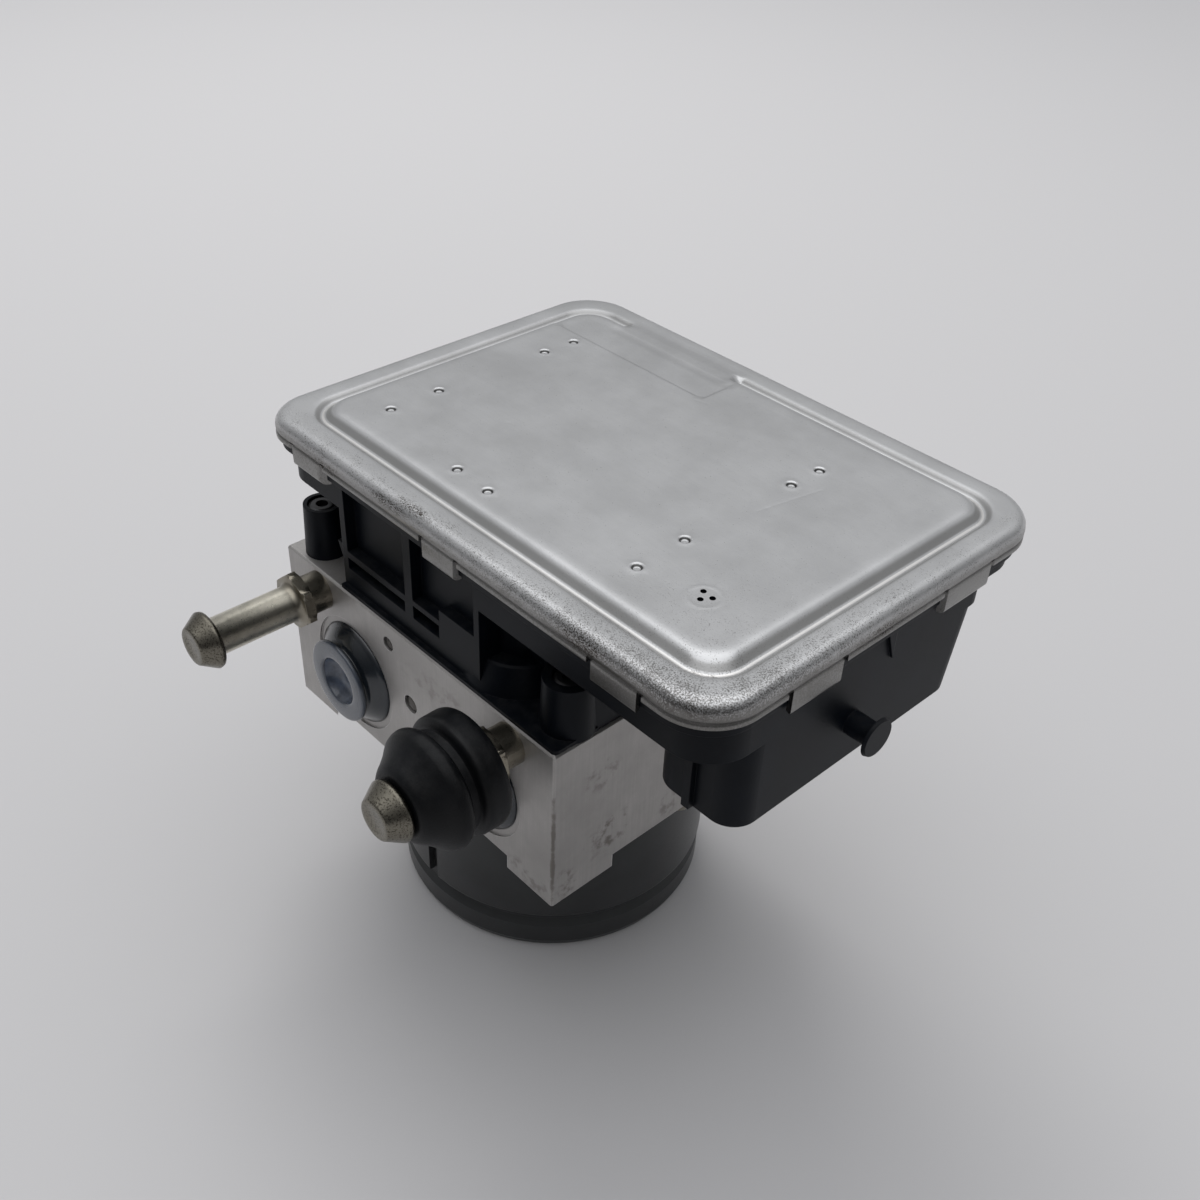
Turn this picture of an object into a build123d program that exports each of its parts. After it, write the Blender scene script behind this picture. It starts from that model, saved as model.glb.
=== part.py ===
from build123d import *
import os
from math import cos, radians, sin, sqrt

# Anti-lock brake hydraulic unit: a machined valve block carries the pump motor below it and the
# controller housing above it. Millimetres, +Z up, origin at the centre of the motor's end face.

# ---- driving dimensions -------------------------------------------------------------------
BLOCK_X, BLOCK_Y, BLOCK_H = 100.6, 90.0, 45.8
BLOCK_TOP = 93.0
BLOCK_BOTTOM = BLOCK_TOP - BLOCK_H
RECESS_R, RECESS_DEEP = 56.8, 3.9
FLOOR_Z = BLOCK_BOTTOM + RECESS_DEEP
FRONT_Y, REAR_Y = -BLOCK_Y / 2, BLOCK_Y / 2
FIT = 0.04

PUMP_Z = 68.5
ECC_OFFSET, JOURNAL_R, ECC_RING_R = 1.0, 6.0, 10.0
SHAFT_R = 4.0
CHAMBER_R, CHAMBER_TOP = 12.5, 79.0
PISTON_R, PISTON_TIP = 4.0, 11.2
SLEEVE_R, SLEEVE_END = 6.5, 41.0
PLUG_R = 8.0

ACC_X, ACC_Z = 24.0, 68.5
ACC_SEAT_R, ACC_SEAT_DEEP = 13.75, 4.0
ACC_BORE_R, ACC_BORE_DEEP = 12.5, 18.0
ACC_SPOT_R = 15.4

PIN_X, PIN_Z = 36.0, 87.4
PIN_THREAD_R, PIN_THREAD_LONG = 3.0, 11.0

VALVE_XS = (-33.0, -11.0, 11.0, 33.0)
VALVE_ROW_Y = 20.0
VALVE_BORE_R, VALVE_BORE_DEEP = 5.0, 14.0
DOME_R, DOME_TOP = 3.6, 109.0
ARMATURE_R = 2.55
COIL_BASE, COIL_TOP, COIL_R = 95.8, 111.0, 9.4

LEAD_Y, LEAD_R = 32.5, 4.0
# pipe ports on the rear face: x, z, bore radius, depth from the face
PORTS = ((-33.0, 77.0, 5.0, 13.2), (-11.0, 77.0, 5.0, 12.8), (11.0, 77.0, 5.0, 13.6), (33.0, 77.0, 5.0, 14.0),
         (-22.0, 61.0, 6.0, 14.4), (22.0, 61.0, 6.0, 14.8))
SPOT_GROW, SPOT_DEEP = 2.6, 0.6

CAN_R, CAN_WALL = 39.6, 2.0
BEAD_R, BEAD_TOP = 41.0, 9.0
RING_R, RING_Z0, RING_Z1 = 41.4, 12.4, 47.4
MOTOR_FLANGE_R, MOTOR_FLANGE_T = 42.5, 1.4
EAR_X = 45.8

# controller housing
SCREW_SPOTS = ((-42.5, -38.5), (44.3, -36.0), (-42.5, 38.5), (44.5, 38.0))
BOSS_RADII, BOSS_TOP = (4.6, 5.7, 4.6, 4.6), 106.6
TRAY_X0, TRAY_X1, TRAY_Y0, TRAY_Y1 = -49.3, 89.7, -43.3, 56.0
TRAY_BOTTOM, TRAY_FLOOR, TRAY_TOP = 114.9, 117.4, 129.0
TRAY_WALL = 2.2
LIP_Z0, LIP_Z1 = 122.9, 125.4
# corner radii run front left, front right, rear right, rear left
TRAY_CORNERS = (8.0, 10.5, 10.5, 10.5)
DEEP_Y1, DEEP_CORNERS = 42.6, (8.0, 10.5, 5.0, 5.0)
SHELF_BOTTOM, SHELF_FLOOR = 120.2, 122.4
SHROUD_X0, SHROUD_X1, SHROUD_Y0 = 67.1, 89.7, -34.1
SHROUD_Y1_LOW, SHROUD_Y1_TOP = 37.6, 41.4
SHROUD_BOTTOM, SHROUD_WALL = 94.2, 2.0
BOARD_Z, BOARD_T = 120.0, 1.6

# stamped cover
COVER_X0, COVER_X1, COVER_Y0, COVER_Y1 = -53.0, 91.7, -46.5, 58.9
SKIRT_BOTTOM, RIM_TOP, PANEL_TOP = 125.5, 131.3, 132.6
SHEET = 1.2
COVER_CORNERS = (9.5, 12.5, 12.5, 12.5)
TAB_BOTTOM_FRONT, TAB_BOTTOM_SIDE = 121.6, 120.8

os.makedirs("parts", exist_ok=True)


def save(piece, name):
    """Label a finished piece and write its STEP file."""
    piece.label = name
    export_step(piece, f"parts/{name}.step")


def facing(side, at=0.0):
    """Plane square to a side of the block, at the given distance along that axis, facing outwards."""
    axes = {
        "-Y": ((0, at, 0), (1, 0, 0), (0, -1, 0)),
        "+Y": ((0, at, 0), (-1, 0, 0), (0, 1, 0)),
        "+X": ((at, 0, 0), (0, 1, 0), (1, 0, 0)),
        "-X": ((at, 0, 0), (0, -1, 0), (-1, 0, 0)),
    }
    origin, x_dir, z_dir = axes[side]
    return Plane(origin=origin, x_dir=x_dir, z_dir=z_dir)


def turned(profile, base, along):
    """Solid of revolution from (distance, radius) points measured along an axis through base."""
    normal = (0, 1, 0) if abs(along[2]) > 0.5 else (0, 0, 1)
    with BuildPart() as piece:
        with BuildSketch(Plane(origin=base, x_dir=along, z_dir=normal)):
            with BuildLine():
                Polyline(*profile, close=True)
            make_face()
        revolve(axis=Axis(base, along))
    return piece.part


def rod(z0, z1, radius, x=0.0, y=0.0):
    """Plain cylinder standing between two heights."""
    with BuildPart() as piece:
        with BuildSketch(Plane.XY.offset(z0)):
            with Locations((x, y)):
                Circle(radius)
        extrude(amount=z1 - z0)
    return piece.part


def tube(z0, z1, outer, inner, x=0.0, y=0.0):
    """Plain ring standing between two heights."""
    with BuildPart() as piece:
        with BuildSketch(Plane.XY.offset(z0)):
            with Locations((x, y)):
                Circle(outer)
                Circle(inner, mode=Mode.SUBTRACT)
        extrude(amount=z1 - z0)
    return piece.part


def rounded(x0, x1, y0, y1, corner=0.0):
    """Rectangular face between limits, with one corner radius or four, from front left."""
    spots = ((x0, y0), (x1, y0), (x1, y1), (x0, y1))
    with BuildSketch() as face:
        with BuildLine():
            if corner:
                FilletPolyline(*spots, radius=corner, close=True)
            else:
                Polyline(*spots, close=True)
        make_face()
    return face.sketch


def less(corners, amount):
    """Corner radii of an outline moved inwards."""
    return tuple(radius - amount for radius in corners)


def block(x0, x1, y0, y1, z0, z1, corner=0.0):
    """Box between limits on each axis; corner rounds its uprights, all alike or each from front left."""
    with BuildPart() as piece:
        with BuildSketch(Plane.XY.offset(z0)):
            add(rounded(x0, x1, y0, y1, corner))
        extrude(amount=z1 - z0)
    return piece.part


def coil_spring(radius, wire, length, turns, base, along):
    """Helical spring of hexagonal wire section along an axis; the wire stays inside its length."""
    normal = (0, 1, 0) if abs(along[2]) > 0.5 else (0, 0, 1)
    frame = Plane(origin=base, x_dir=normal, z_dir=along)
    run = length - 2 * wire - 0.1
    start = frame.offset(wire + 0.05).origin
    with BuildPart() as piece:
        with BuildLine():
            path = Helix(pitch=run / turns, height=run, radius=radius, center=start, direction=along)
        with BuildSketch(Plane(origin=path @ 0, z_dir=path % 0)):
            RegularPolygon(wire, 6)
        sweep(is_frenet=True)
    return piece.part


# ---- valve block --------------------------------------------------------------------------
BALL_SPOTS = ((-8.3, 87.2, 1.9), (-0.6, 73.7, 2.4))
SCREW_HOLE_R = 2.0
with BuildPart() as valve_block:
    add(block(-BLOCK_X / 2, BLOCK_X / 2, FRONT_Y, REAR_Y, BLOCK_BOTTOM, BLOCK_TOP))
    chamfer(valve_block.edges().filter_by(Axis.Z), 0.4)
    chamfer(valve_block.faces().sort_by(Axis.Z)[-1].edges(), 0.5)
    # motor seat, pilot, eccentric chamber and tail bearing bore
    add(rod(BLOCK_BOTTOM, FLOOR_Z, RECESS_R), mode=Mode.SUBTRACT)
    add(rod(FLOOR_Z, FLOOR_Z + 3.0, 14.0 + FIT), mode=Mode.SUBTRACT)
    add(rod(FLOOR_Z, CHAMBER_TOP, CHAMBER_R), mode=Mode.SUBTRACT)
    add(rod(CHAMBER_TOP, CHAMBER_TOP + 6.5, 6.5), mode=Mode.SUBTRACT)
    # pump bores from both ends
    for side in (-1, 1):
        with BuildSketch(facing("+X" if side > 0 else "-X", side * BLOCK_X / 2)):
            with Locations((0, PUMP_Z)):
                Circle(PLUG_R)
        extrude(amount=-(BLOCK_X / 2 - SLEEVE_END), mode=Mode.SUBTRACT)
        with BuildSketch(facing("+X" if side > 0 else "-X", side * BLOCK_X / 2)):
            with Locations((0, PUMP_Z)):
                Circle(SLEEVE_R)
        extrude(amount=-(BLOCK_X / 2 - 8.0), mode=Mode.SUBTRACT)
    # accumulators on the front face
    for radius, deep in ((ACC_SPOT_R, 0.5), (ACC_SEAT_R, ACC_SEAT_DEEP), (ACC_BORE_R, ACC_BORE_DEEP)):
        with BuildSketch(facing("-Y", FRONT_Y)):
            with Locations((-ACC_X, ACC_Z), (ACC_X, ACC_Z)):
                Circle(radius)
        extrude(amount=-deep, mode=Mode.SUBTRACT)
    # mounting pin threads and the two ball-plugged drillings
    with BuildSketch(facing("-Y", FRONT_Y)):
        with Locations((-PIN_X, PIN_Z), (PIN_X, PIN_Z)):
            Circle(PIN_THREAD_R)
    extrude(amount=-PIN_THREAD_LONG, mode=Mode.SUBTRACT)
    for x, z, radius in BALL_SPOTS:
        with BuildSketch(facing("-Y", FRONT_Y)):
            with Locations((x, z)):
                Circle(radius)
        extrude(amount=-5.0, mode=Mode.SUBTRACT)
    # pipe ports on the rear face
    for x, z, radius, port_deep in PORTS:
        for grow, deep in ((SPOT_GROW, SPOT_DEEP), (0.0, port_deep)):
            with BuildSketch(facing("+Y", REAR_Y)):
                with Locations((-x, z)):
                    Circle(radius + grow)
            extrude(amount=-deep, mode=Mode.SUBTRACT)
    # solenoid valve bores, cover screw threads and the motor lead bore from the top
    with BuildSketch(Plane.XY.offset(BLOCK_TOP)):
        with Locations(*[(x, y) for x in VALVE_XS for y in (-VALVE_ROW_Y, VALVE_ROW_Y)]):
            Circle(VALVE_BORE_R)
        with Locations(*SCREW_SPOTS):
            Circle(SCREW_HOLE_R)
    extrude(amount=-VALVE_BORE_DEEP, mode=Mode.SUBTRACT)
    with BuildSketch(Plane.XY.offset(BLOCK_TOP)):
        with Locations((0, LEAD_Y)):
            Circle(LEAD_R)
    extrude(amount=-BLOCK_H, mode=Mode.SUBTRACT)
    # motor screw threads in the seat
    with BuildSketch(Plane.XY.offset(FLOOR_Z)):
        with Locations((-EAR_X, 0), (EAR_X, 0)):
            Circle(2.0)
    extrude(amount=8.0, mode=Mode.SUBTRACT)
save(valve_block.part, "valve_block")

# ---- ball plugs ---------------------------------------------------------------------------
with BuildPart() as ball_plugs:
    for x, z, radius in BALL_SPOTS:
        add(turned([(-4.0, 0), (-4.0, radius - 0.3), (-0.9, radius - 0.3), (-0.5, 0.75 * radius),
                    (-0.25, 0.4 * radius), (-0.2, 0)], (x, FRONT_Y, z), (0, -1, 0)))
save(ball_plugs.part, "ball_plugs")

# ---- low pressure accumulators ------------------------------------------------------------
CAP_FACE = 5.4
with BuildPart() as accumulator_caps:
    for x in (-ACC_X, ACC_X):
        add(turned([(-ACC_SEAT_DEEP, 0), (-ACC_SEAT_DEEP, ACC_SEAT_R - 0.05), (-0.3, ACC_SEAT_R - 0.05),
                    (0.5, ACC_SEAT_R - 0.9), (2.6, 10.6), (3.4, 9.7), (4.0, 9.9), (4.3, 10.9), (5.0, 10.9),
                    (CAP_FACE, 10.5), (CAP_FACE, 6.6), (5.0, 6.2), (1.6, 5.8), (1.6, 0)],
                   (x, FRONT_Y, ACC_Z), (0, -1, 0)))
save(accumulator_caps.part, "accumulator_caps")

ACC_PISTON_LONG = 6.0
SEAL_R = 1.15
for name, x in (("left", -ACC_X), ("right", ACC_X)):
    floor = FRONT_Y + ACC_BORE_DEEP
    with BuildPart() as accumulator_piston:
        add(turned([(0.2, 0), (0.2, 11.6), (0.8, 12.45), (1.8, 12.45), (1.8, 10.0), (4.2, 10.0), (4.2, 12.45),
                    (ACC_PISTON_LONG, 12.45), (ACC_PISTON_LONG, 9.6), (3.0, 9.6), (3.0, 0)],
                   (x, floor, ACC_Z), (0, -1, 0)))
    save(accumulator_piston.part, f"accumulator_piston_{name}")
    with BuildPart() as accumulator_seal:
        with BuildSketch(Plane(origin=(x, floor - 3.0, ACC_Z), x_dir=(1, 0, 0), z_dir=(0, 0, 1))):
            with Locations((10.0 + SEAL_R, 0)):
                RegularPolygon(SEAL_R, 8)
        revolve(axis=Axis((x, floor - 3.0, ACC_Z), (0, 1, 0)))
    save(accumulator_seal.part, f"accumulator_seal_{name}")
    with BuildPart() as accumulator_spring:
        add(coil_spring(7.6, 0.8, ACC_BORE_DEEP - ACC_SEAT_DEEP - 3.0, 3.5, (x, floor - 3.0, ACC_Z), (0, -1, 0)))
    save(accumulator_spring.part, f"accumulator_spring_{name}")

# ---- pump ---------------------------------------------------------------------------------
PISTON_END, SPRING_BORE_R, SPRING_BORE_Z = 31.0, 5.4, 32.0
with BuildPart() as pump_cylinders:
    for side in (-1, 1):
        add(turned([(CHAMBER_R + 0.4, PISTON_R + FIT), (CHAMBER_R + 0.4, SLEEVE_R - 0.05),
                    (SLEEVE_END, SLEEVE_R - 0.05), (SLEEVE_END, SPRING_BORE_R),
                    (SPRING_BORE_Z, SPRING_BORE_R), (SPRING_BORE_Z, PISTON_R + FIT)],
                   (0, 0, PUMP_Z), (side, 0, 0)))
save(pump_cylinders.part, "pump_cylinders")

with BuildPart() as pump_plugs:
    for side in (-1, 1):
        add(turned([(SLEEVE_END, 0), (SLEEVE_END, 7.0), (SLEEVE_END + 0.8, PLUG_R - 0.05),
                    (BLOCK_X / 2 - 0.6, PLUG_R - 0.05), (BLOCK_X / 2 - 0.6, 5.0), (BLOCK_X / 2 - 1.8, 4.4),
                    (BLOCK_X / 2 - 1.8, 0)], (0, 0, PUMP_Z), (side, 0, 0)))
save(pump_plugs.part, "pump_plugs")

for name, side in (("left", -1), ("right", 1)):
    with BuildPart() as pump_piston:
        add(turned([(PISTON_TIP, 0), (PISTON_TIP, 3.4), (PISTON_TIP + 0.6, PISTON_R), (PISTON_END, PISTON_R),
                    (PISTON_END, 1.8), (PISTON_END - 4.0, 1.8), (PISTON_END - 4.0, 0)],
                   (0, 0, PUMP_Z), (side, 0, 0)))
    save(pump_piston.part, f"pump_piston_{name}")
    with BuildPart() as pump_spring:
        add(coil_spring(3.0, 0.5, SLEEVE_END - PISTON_END, 4.5, (side * PISTON_END, 0, PUMP_Z), (side, 0, 0)))
    save(pump_spring.part, f"pump_spring_{name}")

# ---- solenoid valves ----------------------------------------------------------------------
STEM_BORE_R, STEM_FLOOR, CAVITY_FLOOR, CAVITY_TOP = 1.1, 83.0, 96.0, 108.0
SEAT_Z = BLOCK_TOP - VALVE_BORE_DEEP
for kind, row in (("inlet", -VALVE_ROW_Y), ("outlet", VALVE_ROW_Y)):
    with BuildPart() as valve_bodies:
        for x in VALVE_XS:
            add(turned([(SEAT_Z, 0), (SEAT_Z, 3.2), (SEAT_Z + 2.0, VALVE_BORE_R - 0.1),
                        (BLOCK_TOP, VALVE_BORE_R - 0.1), (BLOCK_TOP, 6.4), (BLOCK_TOP + 1.2, 6.4),
                        (BLOCK_TOP + 1.6, DOME_R), (DOME_TOP - 1.2, DOME_R), (DOME_TOP, DOME_R - 1.4),
                        (DOME_TOP, 0), (CAVITY_TOP, 0), (CAVITY_TOP, ARMATURE_R + FIT),
                        (CAVITY_FLOOR, ARMATURE_R + FIT), (CAVITY_FLOOR, STEM_BORE_R),
                        (STEM_FLOOR, STEM_BORE_R), (STEM_FLOOR, 0)], (x, row, 0), (0, 0, 1)))
    save(valve_bodies.part, f"{kind}_valve_bodies")
    for count, x in enumerate(VALVE_XS, start=1):
        with BuildPart() as armature:
            add(turned([(83.6, 0), (84.4, 0.9), (96.6, 0.9), (96.6, ARMATURE_R - 0.3),
                        (96.9, ARMATURE_R), (107.2, ARMATURE_R), (107.4, ARMATURE_R - 0.2), (107.4, 0)],
                       (x, row, 0), (0, 0, 1)))
        save(armature.part, f"{kind}_armature_{count}")
    with BuildPart() as coils:
        for x in VALVE_XS:
            add(turned([(COIL_BASE, DOME_R + 0.2), (COIL_BASE, COIL_R), (COIL_BASE + 1.6, COIL_R),
                        (COIL_BASE + 1.6, COIL_R - 1.0), (COIL_TOP - 1.6, COIL_R - 1.0), (COIL_TOP - 1.6, COIL_R),
                        (COIL_TOP, COIL_R), (COIL_TOP, DOME_R + 0.2)], (x, row, 0), (0, 0, 1)))
    save(coils.part, f"{kind}_coils")

with BuildPart() as coil_terminals:
    for x in VALVE_XS:
        for y in (-VALVE_ROW_Y, VALVE_ROW_Y):
            for step in (-2.5, 2.5):
                add(block(x + step - 0.4, x + step + 0.4, y + 5.6, y + 6.4, COIL_TOP, BOARD_Z))
save(coil_terminals.part, "coil_terminals")

# ---- mounting pins and rubber bushing -----------------------------------------------------
PIN_R, PIN_LONG = 4.6, 35.0
HEX_AF, HEX_Z0, HEX_Z1 = 13.0, 5.6, 8.2
for name, x in (("left", -PIN_X), ("right", PIN_X)):
    with BuildPart() as mounting_pin:
        add(turned([(-PIN_THREAD_LONG + 0.5, 0), (-PIN_THREAD_LONG + 0.5, PIN_THREAD_R - 0.4),
                    (-PIN_THREAD_LONG + 1.0, PIN_THREAD_R), (0, PIN_THREAD_R), (0, 5.0), (HEX_Z0, 5.0),
                    (HEX_Z0, 6.3), (HEX_Z1, 6.3), (HEX_Z1, PIN_R + 0.8), (HEX_Z1 + 1.6, PIN_R),
                    (PIN_LONG - 5.4, PIN_R), (PIN_LONG - 5.0, 6.6), (PIN_LONG - 4.2, 7.1), (PIN_LONG - 3.8, 7.0),
                    (PIN_LONG - 0.3, 4.7), (PIN_LONG, 4.4), (PIN_LONG, 0)], (x, FRONT_Y, PIN_Z), (0, -1, 0)))
        with BuildSketch(facing("-Y", FRONT_Y - HEX_Z0)):
            with Locations((x, PIN_Z)):
                RegularPolygon(HEX_AF / 2, 6, major_radius=False, rotation=-19)
        extrude(amount=HEX_Z1 - HEX_Z0)
    save(mounting_pin.part, f"mounting_pin_{name}")

BUSH_START = HEX_Z1 + 1.7
with BuildPart() as rubber_bushing:
    with BuildSketch(Plane(origin=(PIN_X, FRONT_Y, PIN_Z), x_dir=(0, -1, 0), z_dir=(0, 0, 1))):
        with BuildLine():
            Polyline((BUSH_START, PIN_R), (BUSH_START, 12.3))
            RadiusArc((BUSH_START, 12.3), (BUSH_START + 1.6, 13.8), 1.6)
            Line((BUSH_START + 1.6, 13.8), (16.0, 13.8))
            RadiusArc((16.0, 13.8), (16.8, 12.8), 1.0)
            Polyline((16.8, 12.8), (17.2, 11.6), (19.0, 11.6), (19.6, 13.0))
            RadiusArc((19.6, 13.0), (21.2, 13.8), 1.8)
            Polyline((21.2, 13.8), (23.2, 13.3), (24.2, 12.2), (28.6, 8.8), (PIN_LONG - 5.6, 7.6),
                     (PIN_LONG - 5.6, PIN_R), (BUSH_START, PIN_R))
        make_face()
    revolve(axis=Axis((PIN_X, FRONT_Y, PIN_Z), (0, -1, 0)))
save(rubber_bushing.part, "rubber_bushing")

# ---- pump motor ---------------------------------------------------------------------------
SHIELD_Z0, SHIELD_Z1, COLLAR_R, COLLAR_TOP = 47.0, 49.3, 14.0, 54.0
BEARING_R = 11.0
with BuildPart() as motor_yoke:
    add(turned([(0, 0), (0, BEAD_R - 2.4), (0.7, BEAD_R - 0.7), (2.4, BEAD_R), (BEAD_TOP - 1.0, BEAD_R),
                (BEAD_TOP, BEAD_R - 0.8), (BEAD_TOP + 0.8, CAN_R), (FLOOR_Z - MOTOR_FLANGE_T, CAN_R),
                (FLOOR_Z - MOTOR_FLANGE_T, MOTOR_FLANGE_R), (FLOOR_Z, MOTOR_FLANGE_R),
                (FLOOR_Z, CAN_R - CAN_WALL), (CAN_WALL, CAN_R - CAN_WALL), (CAN_WALL, 10.5),
                (9.0, 10.5), (9.0, 8.0), (CAN_WALL, 8.0), (CAN_WALL, 0)], (0, 0, 0), (0, 0, 1)))
    with BuildSketch(Plane.XY.offset(FLOOR_Z - MOTOR_FLANGE_T)):
        with BuildLine():
            for side in (-1, 1):
                Polyline((side * 40.5, -7.5), (side * EAR_X, -4.0), (side * EAR_X, 4.0), (side * 40.5, 7.5),
                         close=True)
        make_face()
        with Locations((-EAR_X, 0), (EAR_X, 0)):
            Circle(4.0)
    extrude(amount=MOTOR_FLANGE_T)
    with BuildSketch(Plane.XY.offset(FLOOR_Z)):
        with Locations((-EAR_X, 0), (EAR_X, 0)):
            Circle(2.1)
    extrude(amount=-MOTOR_FLANGE_T, mode=Mode.SUBTRACT)
save(motor_yoke.part, "motor_yoke")

SEAM_ANGLE, SEAM_WIDE = 269.5, 2.4
with BuildPart() as flux_ring:
    add(turned([(RING_Z0, CAN_R + 0.05), (RING_Z0, RING_R - 0.8), (RING_Z0 + 0.8, RING_R), (RING_Z1, RING_R),
                (RING_Z1, CAN_R + 0.05)], (0, 0, 0), (0, 0, 1)))
    with BuildSketch(Plane.XY.offset(RING_Z0)):
        with Locations((40.5 * cos(radians(SEAM_ANGLE)), 40.5 * sin(radians(SEAM_ANGLE)))):
            Rectangle(5.0, SEAM_WIDE, rotation=SEAM_ANGLE)
    extrude(amount=RING_Z1 - RING_Z0, mode=Mode.SUBTRACT)
save(flux_ring.part, "flux_ring")

MAGNET_Z0, MAGNET_Z1 = 8.0, 38.0
with BuildPart() as magnets:
    add(tube(MAGNET_Z0, MAGNET_Z1, CAN_R - CAN_WALL - 0.05, 33.6))
    with BuildSketch(Plane.XY.offset(MAGNET_Z0)):
        with PolarLocations(35.5, 4, start_angle=45):
            Rectangle(8.0, 12.0)
    extrude(amount=MAGNET_Z1 - MAGNET_Z0, mode=Mode.SUBTRACT)
save(magnets.part, "magnets")

with BuildPart() as end_shield:
    add(tube(SHIELD_Z0, SHIELD_Z1, CAN_R - CAN_WALL - 0.05, BEARING_R + 0.02))
    add(tube(SHIELD_Z1, COLLAR_TOP, COLLAR_R, BEARING_R + 0.02))
    add(rod(SHIELD_Z0, SHIELD_Z1, LEAD_R, 0, LEAD_Y), mode=Mode.SUBTRACT)
save(end_shield.part, "end_shield")

with BuildPart() as front_bearing:
    add(tube(SHIELD_Z0, COLLAR_TOP, BEARING_R, SHAFT_R + FIT))
save(front_bearing.part, "front_bearing")
with BuildPart() as rear_bearing:
    add(tube(2.4, 9.0, 7.95, SHAFT_R + FIT))
save(rear_bearing.part, "rear_bearing")
with BuildPart() as tail_bearing:
    add(tube(CHAMBER_TOP, CHAMBER_TOP + 6.0, 6.45, SHAFT_R + FIT))
save(tail_bearing.part, "tail_bearing")

CORE_Z0, CORE_Z1, CORE_R = 12.0, 34.0, 32.8
COMMUTATOR_Z0, COMMUTATOR_Z1, COMMUTATOR_R = 39.0, 46.0, 10.5
with BuildPart() as motor_shaft:
    add(rod(3.0, 84.5, SHAFT_R))
    add(rod(PUMP_Z - 5.5, PUMP_Z + 5.5, JOURNAL_R, ECC_OFFSET))
save(motor_shaft.part, "motor_shaft")

with BuildPart() as eccentric_ring:
    add(tube(PUMP_Z - 5.0, PUMP_Z + 5.0, ECC_RING_R, JOURNAL_R + FIT, ECC_OFFSET))
save(eccentric_ring.part, "eccentric_ring")

SLOTS, SLOT_WIDE = 12, 4.4
with BuildPart() as armature_core:
    add(tube(CORE_Z0, CORE_Z1, CORE_R, SHAFT_R))
    with BuildSketch(Plane.XY.offset(CORE_Z0)):
        with PolarLocations(24.0, SLOTS):
            SlotOverall(16.0, SLOT_WIDE)
        with PolarLocations(32.0, SLOTS):
            Rectangle(4.0, 1.6)
    extrude(amount=CORE_Z1 - CORE_Z0, mode=Mode.SUBTRACT)
save(armature_core.part, "armature_core")

with BuildPart() as windings:
    for z0, z1 in ((CORE_Z0 - 3.6, CORE_Z0), (CORE_Z1, COMMUTATOR_Z0 - 0.6)):
        add(turned([(z0, 15.0), (z0, 28.0), (z0 + 0.8, 29.4), (z1 - 0.8, 29.4), (z1, 28.4), (z1, 15.0)],
                   (0, 0, 0), (0, 0, 1)))
save(windings.part, "windings")

with BuildPart() as commutator:
    add(tube(CORE_Z1, COMMUTATOR_Z1, COMMUTATOR_R, SHAFT_R))
    with BuildSketch(Plane.XY.offset(CORE_Z1 + 5.0)):
        with PolarLocations(COMMUTATOR_R, SLOTS):
            Rectangle(1.6, 0.6)
    extrude(amount=COMMUTATOR_Z1 - CORE_Z1 - 5.0, mode=Mode.SUBTRACT)
save(commutator.part, "commutator")

HOLDER_Z0 = 44.6
with BuildPart() as brush_holder:
    add(tube(HOLDER_Z0, SHIELD_Z0, CAN_R - CAN_WALL - 0.1, 12.0))
    for side in (-1, 1):
        add(block(min(side * 13.0, side * 26.0), max(side * 13.0, side * 26.0), -5.0, 5.0, 39.2, HOLDER_Z0))
        add(block(min(side * 12.0, side * 24.0), max(side * 12.0, side * 24.0), -3.0, 3.0, 40.2, HOLDER_Z0),
            mode=Mode.SUBTRACT)
save(brush_holder.part, "brush_holder")

with BuildPart() as brushes:
    for side in (-1, 1):
        add(block(min(side * 10.8, side * 20.0), max(side * 10.8, side * 20.0), -2.9, 2.9, 40.3, 44.5))
save(brushes.part, "brushes")

with BuildPart() as motor_connector:
    add(rod(SHIELD_Z0, BLOCK_TOP + 3.0, LEAD_R - 0.1, 0, LEAD_Y))
    for step in (-1.6, 1.6):
        add(block(step - 0.4, step + 0.4, LEAD_Y - 1.4, LEAD_Y + 1.4, BLOCK_TOP + 3.0, BOARD_Z))
save(motor_connector.part, "motor_connector")

with BuildPart() as motor_screws:
    for x in (-EAR_X, EAR_X):
        add(turned([(47.4, 0), (47.4, 3.2), (FLOOR_Z - MOTOR_FLANGE_T, 4.0), (FLOOR_Z - MOTOR_FLANGE_T, 2.0),
                    (58.0, 2.0), (58.6, 1.4), (58.6, 0)], (x, 0, 0), (0, 0, 1)))
save(motor_screws.part, "motor_screws")

# ---- controller housing -------------------------------------------------------------------
BLADE_BOTTOM = 101.0
SIGNAL_SPOTS = [(x, -27.0 + 4.6 * count) for x in (74.0, 78.4, 82.8) for count in range(9)]
POWER_SPOTS = [(x, y) for x in (75.0, 82.0) for y in (23.5, 31.0)]
SIGNAL_WIDE, POWER_WIDE = 0.7, 4.8

CHAMBER_X, CHAMBER_Y0, CHAMBER_Y1, CHAMBER_WALL = 49.6, -33.4, 43.3, 2.4
RIB_X0, RIB_X1, LEDGE_TOP = -27.0, 24.0, 122.0
PLATE_X1, PLATE_Y0, PLATE_TOP = 49.9, -44.6, 94.0
POCKETS = ((-25.0, -2.5, 103.8, 120.6), (-25.0, -2.8, 99.0, 102.0), (0.3, 10.0, 104.0, 120.6),
           (10.0, 22.2, 107.0, 120.6), (0.3, 9.8, 99.0, 102.5))
POCKET_DEEP = 2.8
TOWER_X, TOWER_Y, TOWER_R = 22.3, -30.2, 7.4
COLLAR_FOOT_R, COLLAR_HEAD_R, COLLAR_HIGH = 14.3, 11.4, 101.0
PEG_Y, PEG_Z = -0.2, 104.0
KEY_X0, KEY_X1 = 77.0, 79.0
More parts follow.
